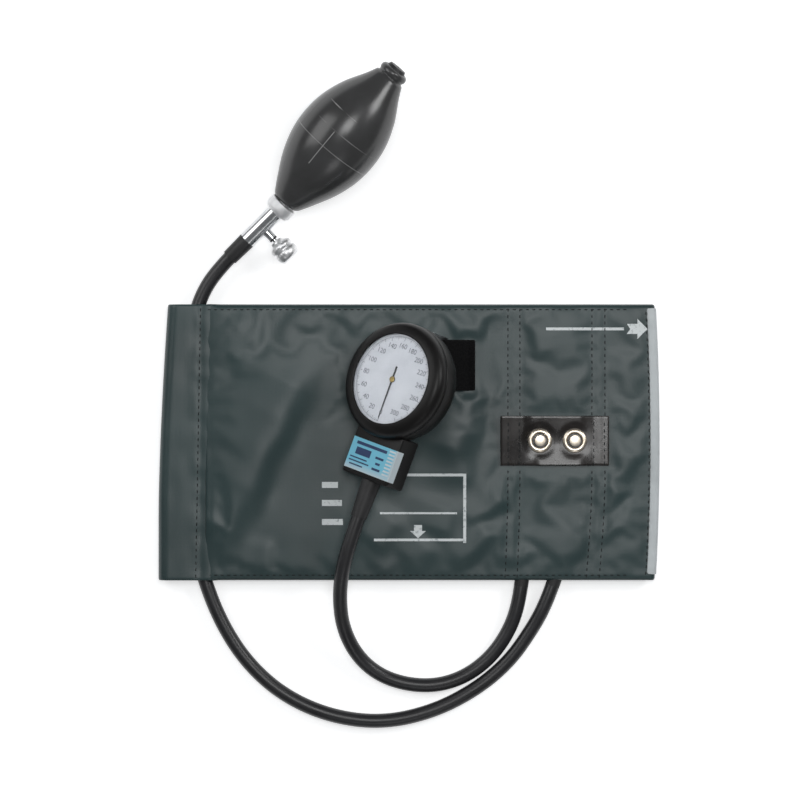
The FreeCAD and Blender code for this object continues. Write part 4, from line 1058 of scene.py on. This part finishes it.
def bulb_rubber(name, place, colour, bloom, line):
    """Moulded rubber with a polished skin, pale flash rings at the mould's seams, and a painted
    reflection as a pale streak along its top.
    """
    mat, where = object_material(name)
    along, side, up = own_axes(mat, where, place, 3)
    stretch = clouds(mat, where, 16)
    # The streak along the top is a painted reflection of a strip light: on the upper side only,
    # and over part of the bulb's length only.
    flash_and_reflection_lines = maths(mat, "MULTIPLY", maths(mat, "COMPARE", side, reflection_side, reflection_half),
                  maths(mat, "GREATER_THAN", up, 0.0))
    flash_and_reflection_lines = maths(mat, "MULTIPLY", flash_and_reflection_lines, maths(mat, "COMPARE", along, reflection_middle, reflection_reach))
    for x, low, high in mould_rings:
        ring = maths(mat, "MULTIPLY",
                     maths(mat, "COMPARE", along, x * MM, ring_half),
                     spread(mat, stretch, 0.0, 1.0, low, high))
        flash_and_reflection_lines = maths(mat, "MAXIMUM", flash_and_reflection_lines, ring)
    patches = clouds(mat, where, 20, 3.0)
    skin = two_tone(mat, patches, (colour, bloom), (0.35, 0.7))
    # The pale colour goes on the flash rings and on the painted reflection streak.
    shade = add_node(mat, "Mix", {0: flash_and_reflection_lines, 6: skin, 7: linear(line)},
                     data_type="RGBA").outputs[2]
    return surface(mat, shade, spread(mat, patches, 0.20, 0.30),
                   Specular_IOR_Level=0.6, Normal=relief(mat, flash_and_reflection_lines, 0.3, 0.1))


bulb_neck = (-62.3, 125.4, 16.074)
bulb_place = placed(*bulb_neck, 49.6, -10)
valve_place = placed(*bulb_neck, 44.0, -10)
bulb_wall = 2.6
x_up = Matrix.Rotation(radians(90), 4, "Y")
bulb_shape = ((0, 7.6), (8, 12.2), (20, 18.2), (32, 21.9), (44, 23.0), (56, 21.6), (68, 17.4),
              (79, 11.2), (85, 8.2))


def smooth_run(points, each):
    """Points on a smooth curve through the given ones."""
    out = []
    for i in range(len(points) - 1):
        p0 = points[max(i - 1, 0)]
        p1, p2 = points[i], points[i + 1]
        p3 = points[min(i + 2, len(points) - 1)]
        for k in range(each):
            t = k / each
            out.append(tuple(0.5 * (2 * b + (c - a) * t + (2 * a - 5 * b + 4 * c - d) * t * t
                                    + (3 * b - a - 3 * c + d) * t ** 3)
                             for a, b, c, d in zip(p0, p1, p2, p3)))
    out.append(points[-1])
    return out


outer = [(r, x) for x, r in smooth_run(bulb_shape, 5)]
bulb_profile = [(4.6, 0.0), (7.1, 0.0)] + outer[1:]
bulb_profile += [(7.4, 85.5), (7.05, 85.9), (7.1, 86.3), (7.5, 86.9), (7.75, 87.7),
                 (7.75, 88.6), (7.5, 89.4), (7.1, 89.9), (6.6, 90.3), (6.1, 90.45),
                 (5.75, 90.4), (5.65, 90.02), (4.6, 90.0), (4.6, 81.2)]
bulb_profile += [(r - bulb_wall, x) for r, x in reversed(outer) if 10 < x < 79.5]
bulb_profile += [(9.0, 9.2), (4.6, 8.2), (4.6, 0.0)]
# The last colour paints the flash rings and the painted reflection streak along the top.
bulb_skin = bulb_rubber("polished_bulb_rubber", bulb_place, "383838", "414142", "909090")
bulb = turned("bulb_skin", bulb_profile, bulb_place @ x_up, bulb_skin, steps=96, sharp=50)
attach(bulb, "cuff_and_gauge")
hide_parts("bulb")


# ---- Valve ----
# Chromed brass release valve: a satin collar against the bulb's neck, and a fluted knob on
# the release screw.  The rest of the valve keeps the part's own shape under the plating.
satin_nickel = metal("satin_nickel_collar", "F2F2F3", "E4E5E6", 0.58, 0.5)
collar = turned("collar_ring", ((4.5, -7.5), (5.3, -7.5), (6.4, -7.1), (7.15, -6.2),
                                (7.45, -5.0), (7.5, -4.0), (7.5, -1.7), (7.35, -1.2),
                                (6.9, -0.9), (4.5, -0.9), (4.5, -7.5)),
                valve_place @ x_up, satin_nickel)
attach(collar, "cuff_and_gauge")
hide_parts("bulb_collar")

chrome = metal("chrome_plate", "E2E3E4", "C9CBCD", 0.20, 0.8)
satin_chrome = metal("satin_chrome_plate", "F6F6F6", "E2E3E4", 0.40, 0.8)
release_x = -18.2
knob_place = (valve_place @ Matrix.Translation((release_x * MM, 0, 0))
              @ Matrix.Rotation(radians(90), 4, "X"))
knob_profile = ((0, 20.6), (1.36, 20.6), (1.36, 10.8), (3.0, 10.8), (3.3, 11.1), (3.4, 11.9),
                (4.0, 12.6), (5.2, 13.2), (6.0, 14.0), (6.3, 15.0), (6.2, 15.9), (5.7, 16.5),
                (5.25, 16.8), (5.25, 17.1), (5.7, 17.4), (6.2, 18.0), (6.3, 18.9),
                (6.2, 20.2), (5.7, 21.3), (5.2, 22.0), (4.4, 22.5), (0, 22.5))
knob = turned("fluted_knob", knob_profile, Matrix.Identity(4), satin_chrome, steps=144, sharp=35)
flute_from, flute_count, flute_depth = 4.5, 18, 0.012
for vertex in knob.data.vertices:
    r = vertex.co.xy.length / MM
    if r > flute_from:
        turn = atan2(vertex.co.y, vertex.co.x)
        flute = (0.5 + 0.5 * cos(flute_count * turn)) ** 3 * min(1.0, r - flute_from)
        vertex.co.xy *= 1 - flute_depth * flute
knob.data.transform(knob_place)
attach(knob, "knob")
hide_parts("release_knob")


# ---- Closing patch ----
# Leather cloth bound round the steel keyhole plate on the end of the wrap half, with a window
# on both faces and a row of stitches round it.  The plate slips over the studs.
closing_low, closing_high = (Vector(corner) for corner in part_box("closing_patch"))
plate_low, plate_high = (Vector(corner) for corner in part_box("keyhole_plate"))
plate_lip = Vector((1.5, 1.5, 0)) * MM
deep = Vector((0, 0, 5)) * MM
closing = block_between("closing_leather", closing_low + Vector((0, 0, 0.2)) * MM,
                        closing_high - Vector((0, 0, 0.15)) * MM)
carve(closing,
      block_between("window", plate_low + plate_lip - deep, plate_high - plate_lip + deep),
      block_between("seat", plate_low, plate_high))
soft_edge = closing.modifiers.new("soft_edge", "BEVEL")
soft_edge.width = 0.25 * MM
soft_edge.segments = 2
bpy.ops.object.modifier_apply(modifier=soft_edge.name)
bpy.ops.object.shade_smooth_by_angle(angle=radians(40))
closing.data.materials.append(dark_leather)
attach(closing, "wrap_half")
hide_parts("closing_patch")


# ---- Stitches ----
# Dark polyester thread, one stitch every 3.4 mm: four rows across the cuff that close the
# bladder's pocket, one beside the fold, one beside the tape, the hems, and the clasp patch.
# polyester thread: matt, with slightly paler plies
thread = clouded("polyester_thread", ("101415", "1E2526"), (0.6,), (0.0, 1.0), 0.8)
stitch_pitch = 3.4
bpy.ops.mesh.primitive_uv_sphere_add(segments=6, ring_count=4, radius=0.5 * MM)
one_stitch = bpy.context.object
one_stitch.scale = (0.62, 2.1, 0.4)
bpy.ops.object.transform_apply(location=False, rotation=False, scale=True)
bpy.ops.object.shade_smooth()
one_stitch.data.materials.append(thread)


def stitch_row(places, cloth, lift=0.04, side=1):
    """Copies of the stitch on a cloth's upper or lower side, each turned along its row."""
    made = []
    for (x, y), (nx, ny) in zip(places, places[1:]):
        hit, spot, normal, _ = cloth.ray_cast(Vector((x, y, 40 * side)) * MM, (0, 0, -side))
        if not hit:
            continue
        turn = atan2(ny - y, nx - x) - pi / 2
        lean = Vector((0, 0, 1)).rotation_difference(normal).to_matrix().to_4x4()
        piece = one_stitch.copy()
        piece.data = one_stitch.data.copy()
        piece.data.transform(Matrix.Translation(spot + normal * lift * MM) @ lean
                             @ Matrix.Rotation(turn, 4, "Z"))
        bpy.context.collection.objects.link(piece)
        made.append(piece)
    return made


def even_run(low, high, extra):
    """Stitch places from low to high, with some extra ones to close the row."""
    return [low + i * stitch_pitch for i in range(int((high - low) / stitch_pitch) + extra)]


def along_y(x_of, low, high):
    """A row that runs up the cuff; x_of gives its X at each Y."""
    return [(x_of(y), y) for y in even_run(low, high, 2)]


def along_x(y, low, high):
    """A row that runs along the cuff."""
    return [(x, y) for x in even_run(low, high, 1)]


stitches = []
seam_end = cuff_half_w - 2.5
hem_y = cuff_half_w - 3.0
fold_drift = 2.6 / 145.0
patch_y = (patch_low[1] / MM, patch_high[1] / MM)
for row in seam_rows:
    for low, high in ((-seam_end, patch_y[0] - 1.0), (patch_y[1] + 1.0, seam_end)):
        stitches += stitch_row(along_y(lambda y: seam_x(row, y), low, high), pouch)
for x in patch_rows:
    stitches += stitch_row(along_y(lambda y: x, patch_y[0] + 1.2, patch_y[1] - 1.2),
                           clasp_patch, 0.16)
stitches += stitch_row(along_y(lambda y: cuff_right - tape_w - 0.5 + edge_bow(cuff_right, y),
                               4 - cuff_half_w, cuff_half_w - 2), pouch)
stitches += stitch_row(along_y(lambda y: fold_seam_x - fold_drift * (cuff_half_w - y),
                               -seam_end, seam_end), fold)
for y in (hem_y, -hem_y):
    stitches += stitch_row(along_x(y, pouch_left + 2.0, cuff_right - 11.0), pouch)
all_stitches = join(*stitches)
all_stitches.name = "cuff_stitches"
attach(all_stitches, "cuff_and_gauge")

wrap_stitches = []
(left, low, _), (right, high, _) = closing_low / MM, closing_high / MM
for side in (1, -1):
    rows = [(along_x(y, -116.0, wrap_right - 4.0), wrap)
            for y in (3.5 - wrap_half_w, wrap_half_w - 3.5)]
    rows.append((along_y(lambda y: wrap_right - 3.5, 4.0 - wrap_half_w, wrap_half_w - 4.0), wrap))
    rows += [(along_x(y, left + 2.0, right - 1.0), closing) for y in (low + 2.2, high - 2.2)]
    rows += [(along_y(lambda y: x, low + 3.0, high - 2.0), closing)
             for x in (left + 2.0, right - 1.8)]
    for places, cloth in rows:
        wrap_stitches += stitch_row(places, cloth, -0.06, side)
wrap_thread = join(*wrap_stitches)
wrap_thread.name = "wrap_stitches"
bpy.data.objects.remove(one_stitch)
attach(wrap_thread, "wrap_half")


# ---- Materials of the other pieces ----
# The remaining solids keep their own meshes: lens, dial, pointer, label, the gauge's
# movement, the bladder, the seals, the valve's body and the wrap half's metalwork.
def clear_glass(name, tint):
    """Clear moulded polycarbonate, with a clear path for shadows."""
    mat, where = object_material(name)
    pane = add_node(mat, "BsdfPrincipled",
                    {"Base Color": linear(tint), "IOR": 1.45, "Transmission Weight": 1.0,
                     "Roughness": spread(mat, clouds(mat, where, 12), 0.01, 0.05)})
    clear = add_node(mat, "BsdfTransparent", {"Color": linear(tint)})
    rays = add_node(mat, "LightPath").outputs
    mixed = add_node(mat, "MixShader", {0: rays["Is Shadow Ray"], 1: pane.outputs[0],
                                        2: clear.outputs[0]})
    return show(mat, mixed.outputs[0])


def coated_label(name, blue, white):
    """Coated paper label: pale blue that fades to white at its end and along one side."""
    mat, where = object_material(name)
    across, down = own_axes(mat, where, gauge_place, 2)
    fade = maths(mat, "MAXIMUM",
                 spread(mat, across, 0.0, 1.0, 13.5 * MM, 15.4 * MM),
                 spread(mat, down, 0.0, 1.0, -46.0 * MM, -51.0 * MM))
    return surface(mat, two_tone(mat, fade, (blue, white)), 0.35)


steel = metal("zinc_plated_steel", "B4B6B8", "94979A", 0.32, 0.5)
bronze = metal("rolled_bronze", "B98A4E", "8F6735", 0.3, 0.4)
sleeve_rubber = rubber("moulded_sleeve_rubber", "29292A", "363637", 0.42, 0.6)
soft_black = rubber("soft_black_rubber", "242425", "303031", 0.55, 0.7)
node_looks = (
    (clear_glass("clear_polycarbonate", "F4F7F8"), ("gauge_lens",)),
    (dial_enamel, ("gauge_dial",)),
    (printed_face("black_enamel", "0C0C0D", "151516", 0.5), ("pointer",)),
    (coated_label("coated_paper_label", "76C6E0", "C6D2D8"), ("neck_label",)),
    (brass, ("pressure_stem", "capsule_post", "movement_back_plate", "movement_front_plate",
             "movement_pillars", "sector_gear", "outlet_seat")),
    (bronze, ("capsule_base", "capsule_diaphragm", "hairspring")),
    (steel, ("keyhole_plate", "plate_screws", "pointer_arbor", "rocking_shaft", "gauge_clip",
             "clip_screws")),
    (nickel, ("stud_washers",)),
    (chrome, ("valve_body", "release_needle")),
    (sleeve_rubber, ("gauge_hose_sleeve", "bulb_hose_sleeve", "intake_valve_seat")),
    (soft_black, ("lens_gasket", "intake_check_disc", "outlet_check_disc", "needle_seal",
                  "bladder")),
)
for mat, names in node_looks:
    for name in names:
        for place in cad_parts[name].material_slots:
            place.material = mat
